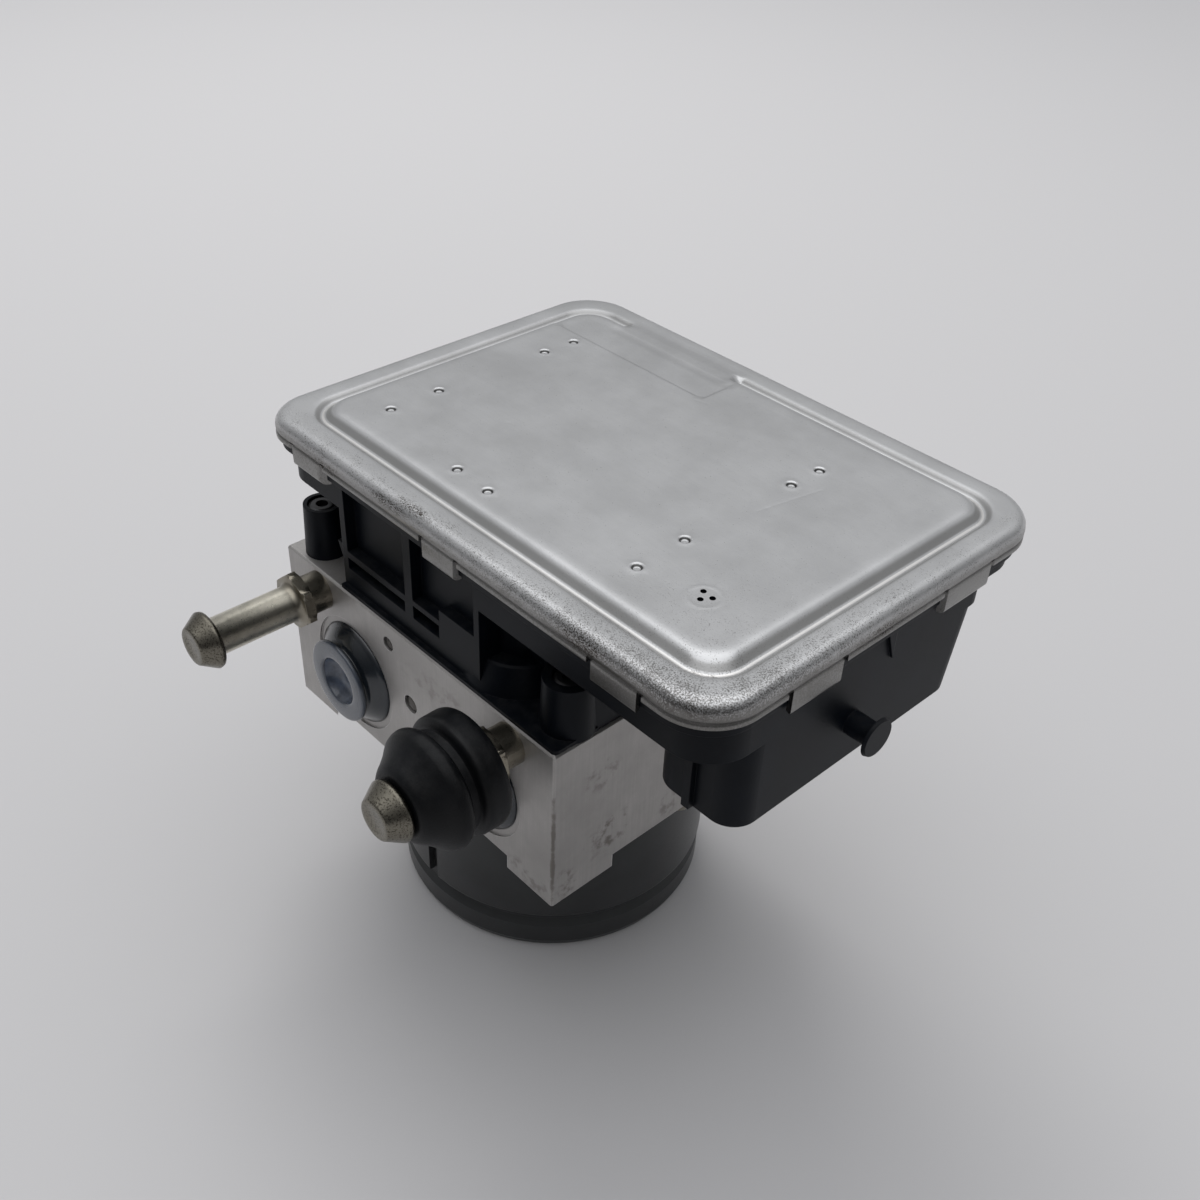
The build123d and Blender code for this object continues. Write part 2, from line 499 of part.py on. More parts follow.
POSTS = ((-43.0, -35.0), (20.0, -35.0), (84.0, -35.0), (-43.0, 36.0), (20.0, 36.0), (82.0, 36.0))
GROOVE = (-49.0, 49.0, -32.8, 42.7)
GROOVE_CORNERS, GROOVE_WIDE, GROOVE_DEEP = (2.6,) * 4, 1.2, 1.0


def ring_band(x0, x1, y0, y1, corners, wide, z0, z1):
    """Upright band that follows a rounded rectangle, inside its outline."""
    with BuildPart() as band:
        with BuildSketch(Plane.XY.offset(z0)):
            add(rounded(x0, x1, y0, y1, corners))
            add(rounded(x0 + wide, x1 - wide, y0 + wide, y1 - wide, less(corners, wide)), mode=Mode.SUBTRACT)
        extrude(amount=z1 - z0)
    return band.part


def shroud_form(wall, corner):
    """Connector shroud whose far end leans outwards, moved in by a wall thickness."""
    with BuildPart() as form:
        for z, far in ((SHROUD_BOTTOM, SHROUD_Y1_LOW), (TRAY_BOTTOM, SHROUD_Y1_TOP)):
            with BuildSketch(Plane.XY.offset(z)):
                add(rounded(SHROUD_X0 + wall, SHROUD_X1 - wall, SHROUD_Y0 + wall, far - wall, corner))
        loft()
    return form.part


with BuildPart() as ecu_housing:
    # foot plate on the block, coil chamber, ribbed front wall, stepped tower and screw bosses
    add(block(RIB_X0, PLATE_X1, PLATE_Y0, CHAMBER_Y0 + 1.0, BLOCK_TOP, PLATE_TOP, (0.0, 1.2, 0.0, 0.0)))
    add(block(-CHAMBER_X, CHAMBER_X, CHAMBER_Y0, CHAMBER_Y1, BLOCK_TOP, TRAY_FLOOR, 3.0))
    add(block(RIB_X0, RIB_X1, TRAY_Y0, CHAMBER_Y0 + 1.0, BLOCK_TOP, TRAY_BOTTOM))
    add(turned([(BLOCK_TOP, 0), (BLOCK_TOP, COLLAR_FOOT_R), (COLLAR_HIGH - 0.5, COLLAR_HEAD_R),
                (COLLAR_HIGH, COLLAR_HEAD_R - 0.5), (COLLAR_HIGH, TOWER_R), (TRAY_BOTTOM, TOWER_R - 0.2),
                (TRAY_BOTTOM, 0)], (TOWER_X, TOWER_Y, 0), (0, 0, 1)))
    for (x, y), radius in zip(SCREW_SPOTS, BOSS_RADII):
        add(turned([(BLOCK_TOP, 0), (BLOCK_TOP, radius + 0.5), (BOSS_TOP, radius), (BOSS_TOP, 0)],
                   (x, y, 0), (0, 0, 1)))
        add(block(x - 2.0, x + 2.0, min(y, y * 0.8), max(y, y * 0.8), BLOCK_TOP, BOSS_TOP - 3.4))
    x, y = SCREW_SPOTS[1]
    add(block(x, CHAMBER_X, y, CHAMBER_Y0 + 3.0, BLOCK_TOP, TRAY_BOTTOM))
    # gusset beside the left screw boss
    with BuildSketch(facing("-Y", -41.6)):
        with BuildLine():
            Polyline((RIB_X0 + 0.5, 97.5), (RIB_X0 - 2.6, 104.5), (RIB_X0 + 0.5, 104.5), close=True)
        make_face()
    extrude(amount=1.2)
    # tray, its shallow rear shelf and the lip that the cover is crimped under
    add(block(TRAY_X0, TRAY_X1, TRAY_Y0, DEEP_Y1, TRAY_BOTTOM, TRAY_TOP, DEEP_CORNERS))
    add(block(TRAY_X0, TRAY_X1, TRAY_Y0, TRAY_Y1, SHELF_BOTTOM, TRAY_TOP, TRAY_CORNERS))
    add(block(COVER_X0 + SHEET + 0.05, COVER_X1 - SHEET - 0.05, COVER_Y0 + SHEET + 0.05,
              COVER_Y1 - SHEET - 0.05, LIP_Z0, LIP_Z1, less(COVER_CORNERS, SHEET)))
    # connector shroud, its keying rib and the cap strap peg
    add(shroud_form(0.0, 6.0))
    add(block(KEY_X0, KEY_X1, SHROUD_Y0 - 1.4, SHROUD_Y0 + 0.5, SHROUD_BOTTOM, TRAY_BOTTOM))
    add(turned([(SHROUD_X1, 0), (SHROUD_X1, 2.75), (SHROUD_X1 + 5.9, 2.75), (SHROUD_X1 + 6.0, 4.5),
                (SHROUD_X1 + 6.8, 4.2), (SHROUD_X1 + 6.8, 0)], (0, PEG_Y, PEG_Z), (1, 0, 0)))
    # hollows: tray, rear shelf, coil chamber, connector socket
    add(block(TRAY_X0 + TRAY_WALL, TRAY_X1 - TRAY_WALL, TRAY_Y0 + TRAY_WALL, DEEP_Y1 - TRAY_WALL,
              TRAY_FLOOR, TRAY_TOP, less(DEEP_CORNERS, TRAY_WALL)), mode=Mode.SUBTRACT)
    add(block(TRAY_X0 + TRAY_WALL, TRAY_X1 - TRAY_WALL, TRAY_Y0 + TRAY_WALL, TRAY_Y1 - TRAY_WALL,
              SHELF_FLOOR, TRAY_TOP, less(TRAY_CORNERS, TRAY_WALL)), mode=Mode.SUBTRACT)
    add(block(-CHAMBER_X + CHAMBER_WALL, CHAMBER_X - CHAMBER_WALL, CHAMBER_Y0 + CHAMBER_WALL,
              CHAMBER_Y1 - CHAMBER_WALL, BLOCK_TOP, TRAY_BOTTOM), mode=Mode.SUBTRACT)
    add(shroud_form(SHROUD_WALL, 4.0), mode=Mode.SUBTRACT)
    add(block(SHROUD_X0 + 1.0, SHROUD_X1 - 1.0, 17.2, 18.8, SHROUD_BOTTOM + 5.0, TRAY_BOTTOM + 0.5))
    # ribbed front wall: the ledge inside the tray and the pockets outside
    add(block(RIB_X0, RIB_X1, TRAY_Y0, -39.2, TRAY_BOTTOM, LEDGE_TOP))
    for x0, x1, z0, z1 in POCKETS:
        add(block(x0, x1, TRAY_Y0, TRAY_Y0 + POCKET_DEEP, z0, z1), mode=Mode.SUBTRACT)
    # gasket groove, screw bores with head recesses, terminal slots, board posts
    add(ring_band(*GROOVE, GROOVE_CORNERS, GROOVE_WIDE, BLOCK_TOP, BLOCK_TOP + GROOVE_DEEP),
        mode=Mode.SUBTRACT)
    for x, y in SCREW_SPOTS:
        add(rod(BLOCK_TOP, BOSS_TOP, 2.2, x, y), mode=Mode.SUBTRACT)
        add(rod(BOSS_TOP - 2.6, BOSS_TOP, 3.6, x, y), mode=Mode.SUBTRACT)
    for x in VALVE_XS:
        for y in (-VALVE_ROW_Y, VALVE_ROW_Y):
            add(block(x - 3.6, x + 3.6, y + 4.8, y + 7.2, TRAY_BOTTOM, TRAY_FLOOR), mode=Mode.SUBTRACT)
    add(block(-3.2, 3.2, LEAD_Y - 2.4, LEAD_Y + 2.4, TRAY_BOTTOM, TRAY_FLOOR), mode=Mode.SUBTRACT)
    for x, y in POSTS:
        add(rod(TRAY_FLOOR, BOARD_Z, 2.5, x, y))
    with BuildSketch(Plane.XY.offset(TRAY_BOTTOM)):
        with Locations(*SIGNAL_SPOTS):
            Rectangle(SIGNAL_WIDE, SIGNAL_WIDE)
        with Locations(*POWER_SPOTS):
            Rectangle(1.0, POWER_WIDE)
    extrude(amount=TRAY_FLOOR - TRAY_BOTTOM, mode=Mode.SUBTRACT)
    # gusset on the tray wall above the shroud
    with BuildSketch(facing("+X", TRAY_X1 - 0.5)):
        with BuildLine():
            Polyline((6.6, LIP_Z0), (9.2, LIP_Z0), (9.2, TRAY_BOTTOM + 1.0), close=True)
        make_face()
    extrude(amount=1.2)
save(ecu_housing.part, "ecu_housing")

with BuildPart() as ecu_gasket:
    add(ring_band(*GROOVE, GROOVE_CORNERS, GROOVE_WIDE, BLOCK_TOP, BLOCK_TOP + GROOVE_DEEP))
save(ecu_gasket.part, "ecu_gasket")

with BuildPart() as ecu_screws:
    for x, y in SCREW_SPOTS:
        add(turned([(BLOCK_TOP - 11.0, 0), (BLOCK_TOP - 11.0, 1.5), (BLOCK_TOP - 10.4, 2.0),
                    (BOSS_TOP - 2.6, 2.0), (BOSS_TOP - 2.6, 3.5), (BOSS_TOP - 0.6, 3.3), (BOSS_TOP - 0.2, 2.6),
                    (BOSS_TOP - 0.2, 1.5), (BOSS_TOP - 1.8, 1.5), (BOSS_TOP - 1.8, 0)], (x, y, 0), (0, 0, 1)))
save(ecu_screws.part, "ecu_screws")

with BuildPart() as connector_pins:
    with BuildSketch(Plane.XY.offset(BLADE_BOTTOM)):
        with Locations(*SIGNAL_SPOTS):
            Rectangle(SIGNAL_WIDE, SIGNAL_WIDE)
        with Locations(*POWER_SPOTS):
            Rectangle(1.0, POWER_WIDE)
    extrude(amount=BOARD_Z - BLADE_BOTTOM)
save(connector_pins.part, "connector_pins")

# ---- circuit board ------------------------------------------------------------------------
BOARD_TOP = BOARD_Z + BOARD_T
with BuildPart() as circuit_board:
    add(block(-46.4, 86.8, -38.8, 39.6, BOARD_Z, BOARD_TOP, 8.0))
save(circuit_board.part, "circuit_board")

with BuildPart() as board_chips:
    for x, y, wide, deep, high in ((58.0, 8.0, 20.0, 20.0, 2.2), (28.0, 12.0, 14.0, 14.0, 1.8),
                                   (-8.0, 2.0, 16.0, 11.0, 2.4), (-34.0, 2.0, 16.0, 11.0, 2.4),
                                   (-22.0, 33.0, 9.0, 7.0, 1.6), (56.0, 33.0, 10.0, 8.0, 1.6),
                                   (56.0, -20.0, 12.0, 7.0, 1.6)):
        add(block(x - wide / 2, x + wide / 2, y - deep / 2, y + deep / 2, BOARD_TOP, BOARD_TOP + high))
save(board_chips.part, "board_chips")

with BuildPart() as board_capacitors:
    for x, y, radius, high in ((8.0, 33.0, 5.0, 7.5), (34.0, 33.0, 5.0, 7.5), (40.0, -28.0, 4.0, 6.5),
                               (-36.0, -28.0, 4.0, 6.5)):
        add(turned([(BOARD_TOP, 0), (BOARD_TOP, radius), (BOARD_TOP + 1.2, radius),
                    (BOARD_TOP + 1.6, radius - 0.4), (BOARD_TOP + 2.0, radius), (BOARD_TOP + high - 0.5, radius),
                    (BOARD_TOP + high, radius - 0.5), (BOARD_TOP + high, 0)], (x, y, 0), (0, 0, 1)))
save(board_capacitors.part, "board_capacitors")

# ---- stamped cover ------------------------------------------------------------------------
RIM_LEFT, RIM_FRONT, RIM_RIGHT, RIM_REAR = 7.4, 7.4, 6.6, 7.4
BEAD_WIDE, BEAD_DEEP, BEAD_CORNER, PANEL_GAP = 2.0, 1.1, 7.0, 0.3
INNER_TOP = RIM_TOP - SHEET
BEAD_GAP = (-30.5, 9.3)
DIMPLES = ((-30.5, -25), (-30.8, -11), (-30.5, 21.7), (-30, 31), (0, -29.5), (11, -30), (51, -25),
           (50.4, -11), (50.5, 21.7), (50.6, 31))
VENT_X, VENT_Y = 66.4, -22.0
FRONT_TABS = ((-39.4, -28.4), (9.5, 19.9), (61.3, 73.5))
RIGHT_TABS = ((-24.5, -10.0), (23.1, 38.2))
SLIT = 1.2


def inset(left, front, right, rear):
    """Limits of the cover's outline moved inwards by an amount on each side."""
    return COVER_X0 + left, COVER_X1 - right, COVER_Y0 + front, COVER_Y1 - rear


def crimp_tab(side, centre, wide, bottom):
    """Tab of the skirt that turns in under the tray's lip; side is the way the skirt faces."""
    reach = {"-Y": COVER_Y0, "+Y": COVER_Y1, "+X": COVER_X1, "-X": COVER_X0}[side]
    along = {"-Y": (0, 1, 0), "+Y": (0, -1, 0), "+X": (-1, 0, 0), "-X": (1, 0, 0)}[side]
    across = {"-Y": (1, 0, 0), "+Y": (-1, 0, 0), "+X": (0, 1, 0), "-X": (0, -1, 0)}[side]
    base = (reach if side[1] == "X" else centre, reach if side[1] == "Y" else centre, 0)
    with BuildPart() as tab:
        with BuildSketch(Plane(origin=base, x_dir=along, z_dir=across)):
            with BuildLine():
                Polyline((0, SKIRT_BOTTOM + 0.5), (0, bottom + 0.9), (0.9, bottom), (1.9, bottom),
                         (1.9, LIP_Z0 - 0.1), (SHEET, LIP_Z0 - 0.1), (SHEET, SKIRT_BOTTOM + 0.5), close=True)
            make_face()
        extrude(amount=wide / 2, both=True)
    return tab.part


with BuildPart() as cover:
    # drawn pan with its rolled shoulder and the raised panel
    add(block(COVER_X0, COVER_X1, COVER_Y0, COVER_Y1, SKIRT_BOTTOM, RIM_TOP, COVER_CORNERS))
    fillet(cover.faces().sort_by(Axis.Z)[-1].edges(), 2.7)
    rise = BEAD_WIDE + PANEL_GAP
    with BuildSketch(Plane.XY.offset(RIM_TOP)):
        add(rounded(*inset(RIM_LEFT + rise, RIM_FRONT + rise, RIM_RIGHT + rise, RIM_REAR + rise),
                    BEAD_CORNER - PANEL_GAP))
    extrude(amount=PANEL_TOP - RIM_TOP, taper=40)
    # underside follows the sheet
    add(block(*inset(SHEET, SHEET, SHEET, SHEET), SKIRT_BOTTOM, INNER_TOP - BEAD_DEEP,
              less(COVER_CORNERS, SHEET)), mode=Mode.SUBTRACT)
    with BuildSketch(Plane.XY.offset(INNER_TOP - BEAD_DEEP)):
        add(rounded(*inset(*(SHEET + 0.6,) * 4), less(COVER_CORNERS, SHEET + 0.6)))
        add(rounded(*inset(RIM_LEFT - 1.0, RIM_FRONT - 1.0, RIM_RIGHT - 1.0, RIM_REAR - 1.0),
                    BEAD_CORNER + 2.0), mode=Mode.SUBTRACT)
    extrude(amount=BEAD_DEEP, mode=Mode.SUBTRACT)
    rise = BEAD_WIDE + 1.6
    add(block(*inset(RIM_LEFT + rise, RIM_FRONT + rise, RIM_RIGHT + rise, RIM_REAR + rise),
              INNER_TOP - BEAD_DEEP, PANEL_TOP - SHEET, BEAD_CORNER - 1.6), mode=Mode.SUBTRACT)
    # pressed bead between rim and panel, left out along part of the rear side
    x0, x1, y0, y1 = inset(RIM_LEFT, RIM_FRONT, RIM_RIGHT, RIM_REAR)
    bead_y = y1 - BEAD_WIDE / 2
    with BuildSketch(Plane.XY.offset(RIM_TOP)):
        add(rounded(x0, x1, y0, y1, BEAD_CORNER + BEAD_WIDE))
        add(rounded(x0 + BEAD_WIDE, x1 - BEAD_WIDE, y0 + BEAD_WIDE, y1 - BEAD_WIDE, BEAD_CORNER),
            mode=Mode.SUBTRACT)
        with Locations((sum(BEAD_GAP) / 2, bead_y)):
            Rectangle(BEAD_GAP[1] - BEAD_GAP[0], 2 * BEAD_WIDE, mode=Mode.SUBTRACT)
        with Locations((BEAD_GAP[0], bead_y), (BEAD_GAP[1], bead_y)):
            Circle(BEAD_WIDE / 2)
    extrude(amount=-BEAD_DEEP, mode=Mode.SUBTRACT)
    # locating dimples
    with BuildSketch(Plane.XY.offset(PANEL_TOP)):
        with Locations(*DIMPLES):
            Circle(1.4)
    extrude(amount=-0.6, taper=40, mode=Mode.SUBTRACT)
    # vent: raised ring with three drilled holes
    with BuildSketch(Plane.XY.offset(PANEL_TOP)):
        with Locations((VENT_X, VENT_Y)):
            Circle(4.0)
            Circle(3.0, mode=Mode.SUBTRACT)
    extrude(amount=0.3)
    with BuildSketch(Plane.XY.offset(PANEL_TOP)):
        with Locations((VENT_X - 1.4, VENT_Y + 1.1), (VENT_X, VENT_Y - 1.2), (VENT_X + 1.3, VENT_Y + 0.8)):
            Circle(0.65)
    extrude(amount=-SHEET, mode=Mode.SUBTRACT)
    # crimp tabs and the slits beside them
    for x0, x1 in FRONT_TABS:
        for side, reach in (("-Y", COVER_Y0), ("+Y", COVER_Y1 - SHEET)):
            add(block(x0 - SLIT, x1 + SLIT, reach, reach + SHEET, SKIRT_BOTTOM, SKIRT_BOTTOM + 1.4),
                mode=Mode.SUBTRACT)
            add(crimp_tab(side, (x0 + x1) / 2, x1 - x0, TAB_BOTTOM_FRONT))
            add(block(x0, x1, reach, reach + SHEET, SKIRT_BOTTOM, SKIRT_BOTTOM + 1.4))
    for y0, y1 in RIGHT_TABS:
        for side, reach in (("-X", COVER_X0), ("+X", COVER_X1 - SHEET)):
            add(block(reach, reach + SHEET, y0 - SLIT, y1 + SLIT, SKIRT_BOTTOM, SKIRT_BOTTOM + 1.4),
                mode=Mode.SUBTRACT)
            add(crimp_tab(side, (y0 + y1) / 2, y1 - y0, TAB_BOTTOM_SIDE))
            add(block(reach, reach + SHEET, y0, y1, SKIRT_BOTTOM, SKIRT_BOTTOM + 1.4))
save(cover.part, "cover")

with BuildPart() as cover_seal:
    add(ring_band(TRAY_X0 + 0.5, TRAY_X1 - 0.5, TRAY_Y0 + 0.5, TRAY_Y1 - 0.5, less(TRAY_CORNERS, 0.5), 1.3,
                  TRAY_TOP, INNER_TOP))
save(cover_seal.part, "cover_seal")

with BuildPart() as vent_membrane:
    add(rod(PANEL_TOP - SHEET - 0.4, PANEL_TOP - SHEET, 5.0, VENT_X, VENT_Y))
save(vent_membrane.part, "vent_membrane")
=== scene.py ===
"""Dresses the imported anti-lock brake unit: stamped cover, housing, block, motor, pins and bushing."""

import logging
import math
from dataclasses import dataclass
from enum import Enum
from functools import cache
from typing import Callable, NamedTuple, Sequence

import bmesh
import bpy
from mathutils import Matrix, Vector, noise
from mathutils.geometry import delaunay_2d_cdt


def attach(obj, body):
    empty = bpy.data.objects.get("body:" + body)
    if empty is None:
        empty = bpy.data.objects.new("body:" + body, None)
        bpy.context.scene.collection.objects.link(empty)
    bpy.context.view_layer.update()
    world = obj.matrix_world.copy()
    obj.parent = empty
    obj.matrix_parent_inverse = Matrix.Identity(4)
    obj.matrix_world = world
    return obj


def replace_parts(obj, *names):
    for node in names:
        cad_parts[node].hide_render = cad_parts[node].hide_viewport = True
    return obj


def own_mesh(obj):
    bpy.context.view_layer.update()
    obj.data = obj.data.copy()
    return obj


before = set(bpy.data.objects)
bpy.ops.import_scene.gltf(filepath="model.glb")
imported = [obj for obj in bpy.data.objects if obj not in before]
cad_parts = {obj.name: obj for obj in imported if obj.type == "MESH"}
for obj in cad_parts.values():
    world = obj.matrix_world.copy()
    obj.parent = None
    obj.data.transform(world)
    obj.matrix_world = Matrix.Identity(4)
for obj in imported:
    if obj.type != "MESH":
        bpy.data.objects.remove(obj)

LOG = logging.getLogger("hydraulic_unit")
MM = 0.001
UNIT = "hydraulic_unit"
Colour = tuple[float, float, float]
Point2 = tuple[float, float]
Point3 = tuple[float, float, float]
Face = Sequence[int]
Socket = bpy.types.NodeSocket
Tree = bpy.types.NodeTree
Piece = bpy.types.Object

DIRT: Colour = (0.045, 0.036, 0.028)
# Colour of the painted glints on the cover's rim.
RIM_GLINT: Colour = (0.78, 0.78, 0.77)
GRAIN_SWING = 0.16
STROKE_SHADE = 0.86
SCRATCH_STRENGTH = 0.7
BUMP_DEPTH = 0.1
COAT_ROUGHNESS = 0.25
WELD = 1e-7


# ---- shader wiring ----


class Spot(NamedTuple):
    """A patch on a surface: its middle and its reach along each axis in millimetres, and its strength."""

    middle: Point3
    reach: Point3
    strength: float = 1.0


class Wiring:
    """Adds and joins nodes in one shader tree. An input takes a number, a colour or another node's socket."""

    # The Mix node's sockets for colours by number, because several of them share a name.
    mix_factor, mix_first, mix_second, mix_result = 0, 6, 7, 2
    patch_core, patch_edge, patch_fray = 0.35, 1.0, 1.6

    def __init__(self, tree: Tree) -> None:
        """Keeps the tree that the nodes go into."""
        self.tree = tree

    def feed(self, slot: Socket, value: object) -> None:
        """Links a socket to an input, or sets the input's own value.

        Args:
            slot: the input.
            value: a socket, or a constant.
        """
        if isinstance(value, Socket):
            self.tree.links.new(value, slot)
        else:
            slot.default_value = value

    def add(self, kind: str, **settings: object) -> bpy.types.Node:
        """Adds a node, sets its properties and feeds its inputs.

        Args:
            kind: the node's type without the ShaderNode prefix.
            settings: properties by name; an input's value or source by its name, with _ for a space.

        Returns:
            The new node.
        """
        node = self.tree.nodes.new("ShaderNode" + kind)
        for key, value in settings.items():
            if hasattr(node, key):
                setattr(node, key, value)
            else:
                self.feed(node.inputs[key.replace("_", " ")], value)
        return node

    def maths(self, operation: str, *values: object) -> Socket:
        """Adds a Math node.

        Args:
            operation: the node's operation.
            values: numbers or sockets, in order.

        Returns:
            The result's socket.
        """
        node = self.add("Math", operation=operation)
        for slot, value in zip(node.inputs, values):
            self.feed(slot, value)
        return node.outputs[0]

    def plus(self, first: object, *others: object) -> Socket:
        """Adds values up.

        Args:
            first: a number or a socket.
            others: what is added to it, in order.

        Returns:
            The sum's socket.
        """
        for value in others:
            first = self.maths("ADD", first, value)
        return first

    def minus(self, first: object, second: object) -> Socket:
        """Takes the second value from the first."""
        return self.maths("SUBTRACT", first, second)

    def times(self, first: object, *others: object) -> Socket:
        """Multiplies values.

        Args:
            first: a number or a socket.
            others: what it is multiplied by, in order.

        Returns:
            The product's socket.
        """
        for value in others:
            first = self.maths("MULTIPLY", first, value)
        return first

    def inverse(self, mask: Socket) -> Socket:
        """Swaps a mask's 0 and 1."""
        return self.minus(1.0, mask)

    def dot(self, first: Socket, second: object) -> Socket:
        """Multiplies two directions into one number.

        Args:
            first: a direction.
            second: a direction or its socket.

        Returns:
            The dot product's socket.
        """
        node = self.add("VectorMath", operation="DOT_PRODUCT")
        self.feed(node.inputs[0], first)
        self.feed(node.inputs[1], second)
        return node.outputs["Value"]

    def ramp(self, source: Socket, low: float, high: float) -> Socket:
        """Turns a value into a soft mask, 0 up to the low level and 1 from the high one."""
        return self.add("MapRange", interpolation_type="SMOOTHSTEP", Value=source, From_Min=low,
                        From_Max=high).outputs["Result"]

    def band(self, source: Socket, start: float, full: float, fade: float, end: float) -> Socket:
        """Makes a mask that rises from start to full and falls from fade to end."""
        return self.times(self.ramp(source, start, full), self.inverse(self.ramp(source, fade, end)))

    def blend(self, mask: Socket, first: object, second: object) -> Socket:
        """Mixes two colours, or sockets of colours, by a mask.

        Args:
            mask: 0 for the first colour, 1 for the second.
            first: a colour or a socket.
            second: a colour or a socket.

        Returns:
            The mixed colour's socket.
        """
        node = self.add("Mix", data_type="RGBA")
        self.feed(node.inputs[self.mix_factor], mask)
        for number, value in ((self.mix_first, first), (self.mix_second, second)):
            self.feed(node.inputs[number], value if isinstance(value, Socket) else (*value, 1.0))
        return node.outputs[self.mix_result]

    def axes(self, vector: Socket) -> tuple[Socket, ...]:
        """Gives a vector's X, Y and Z sockets."""
        return tuple(self.add("SeparateXYZ", Vector=vector).outputs)

    def mapped(self, place: Socket, kind: str, **settings: Point3) -> Socket:
        """Moves, turns or stretches a position with a Mapping node of the named kind."""
        return self.add("Mapping", vector_type=kind, Vector=place, **settings).outputs["Vector"]

    def noise(self, place: Socket, scale: object, detail: float = 4.0, rough: float = 0.55,
              warp: float = 0.0) -> Socket:
        """Adds a noise texture at a position and gives its value."""
        return self.add("TexNoise", Vector=place, Scale=scale, Detail=detail, Roughness=rough,
                        Distortion=warp).outputs["Fac"]

    def shared(self, effect: Tree, position: Socket, **values: float) -> bpy.types.NodeOutputs:
        """Places a shared effect, read at a position, and gives its outputs."""
        return self.add("Group", node_tree=effect, Position=position, **values).outputs

    def inside(self, position: Socket, centre: Point2, half: Point2, radius: float) -> Socket:
        """Measures how far a point lies inside a rectangle with rounded corners.

        Args:
            position: the surface position.
            centre: the rectangle's centre in X and Y, in metres.
            half: half its length in X and Y, in metres.
            radius: the corner radius, in metres.

        Returns:
            The distance from the edge, right down to the radius.
        """
        squares = []
        for value, middle, reach in zip(self.axes(position)[:2], centre, half):
            off = self.minus(self.maths("ABSOLUTE", self.minus(value, middle)), reach - radius)
            off = self.maths("MAXIMUM", off, 0.0)
            squares.append(self.times(off, off))
        return self.minus(radius, self.maths("SQRT", self.plus(*squares)))

    def near(self, position: Socket, spot: Spot, fray: Socket) -> Socket:
        """Makes a soft patch around a spot, 1 in its middle and 0 outside its reach.

        Args:
            position: the surface position.
            spot: the patch's place and reach.
            fray: a value that frays the patch's edge.

        Returns:
            The patch's mask.
        """
        place = self.mapped(position, "TEXTURE", Location=tuple(v * MM for v in spot.middle),
                            Scale=tuple(v * MM for v in spot.reach))
        length = self.add("VectorMath", operation="LENGTH", Vector=place).outputs["Value"]
        reach = self.plus(length, self.times(self.minus(fray, 0.5), self.patch_fray))
        return self.inverse(self.ramp(reach, self.patch_core, self.patch_edge))


class Group(Wiring):
    """A shader node group in the making, read at a position."""

    def __init__(self, name: str, **numbers: float) -> None:
        """Starts the group with a Position input.

        Args:
            name: the group's name.
            numbers: each further input's default by its name, with _ for a space.
        """
        super().__init__(bpy.data.node_groups.new(name, "ShaderNodeTree"))
        self.tree.interface.new_socket("Position", in_out="INPUT", socket_type="NodeSocketVector")
        for key, value in numbers.items():
            socket = self.tree.interface.new_socket(key.replace("_", " "), in_out="INPUT",
                                                    socket_type="NodeSocketFloat")
            socket.default_value = value
        self.given = self.tree.nodes.new("NodeGroupInput").outputs
        self.place = self.given["Position"]

    def give(self, **results: Socket) -> Tree:
        """Adds the group's outputs, all plain numbers.

        Args:
            results: each output's source by its name.

        Returns:
            The finished group's tree.
        """
        for key in results:
            self.tree.interface.new_socket(key, in_out="OUTPUT", socket_type="NodeSocketFloat")
        leave = self.tree.nodes.new("NodeGroupOutput")
        for key, value in results.items():
            self.feed(leave.inputs[key], value)
        return self.tree


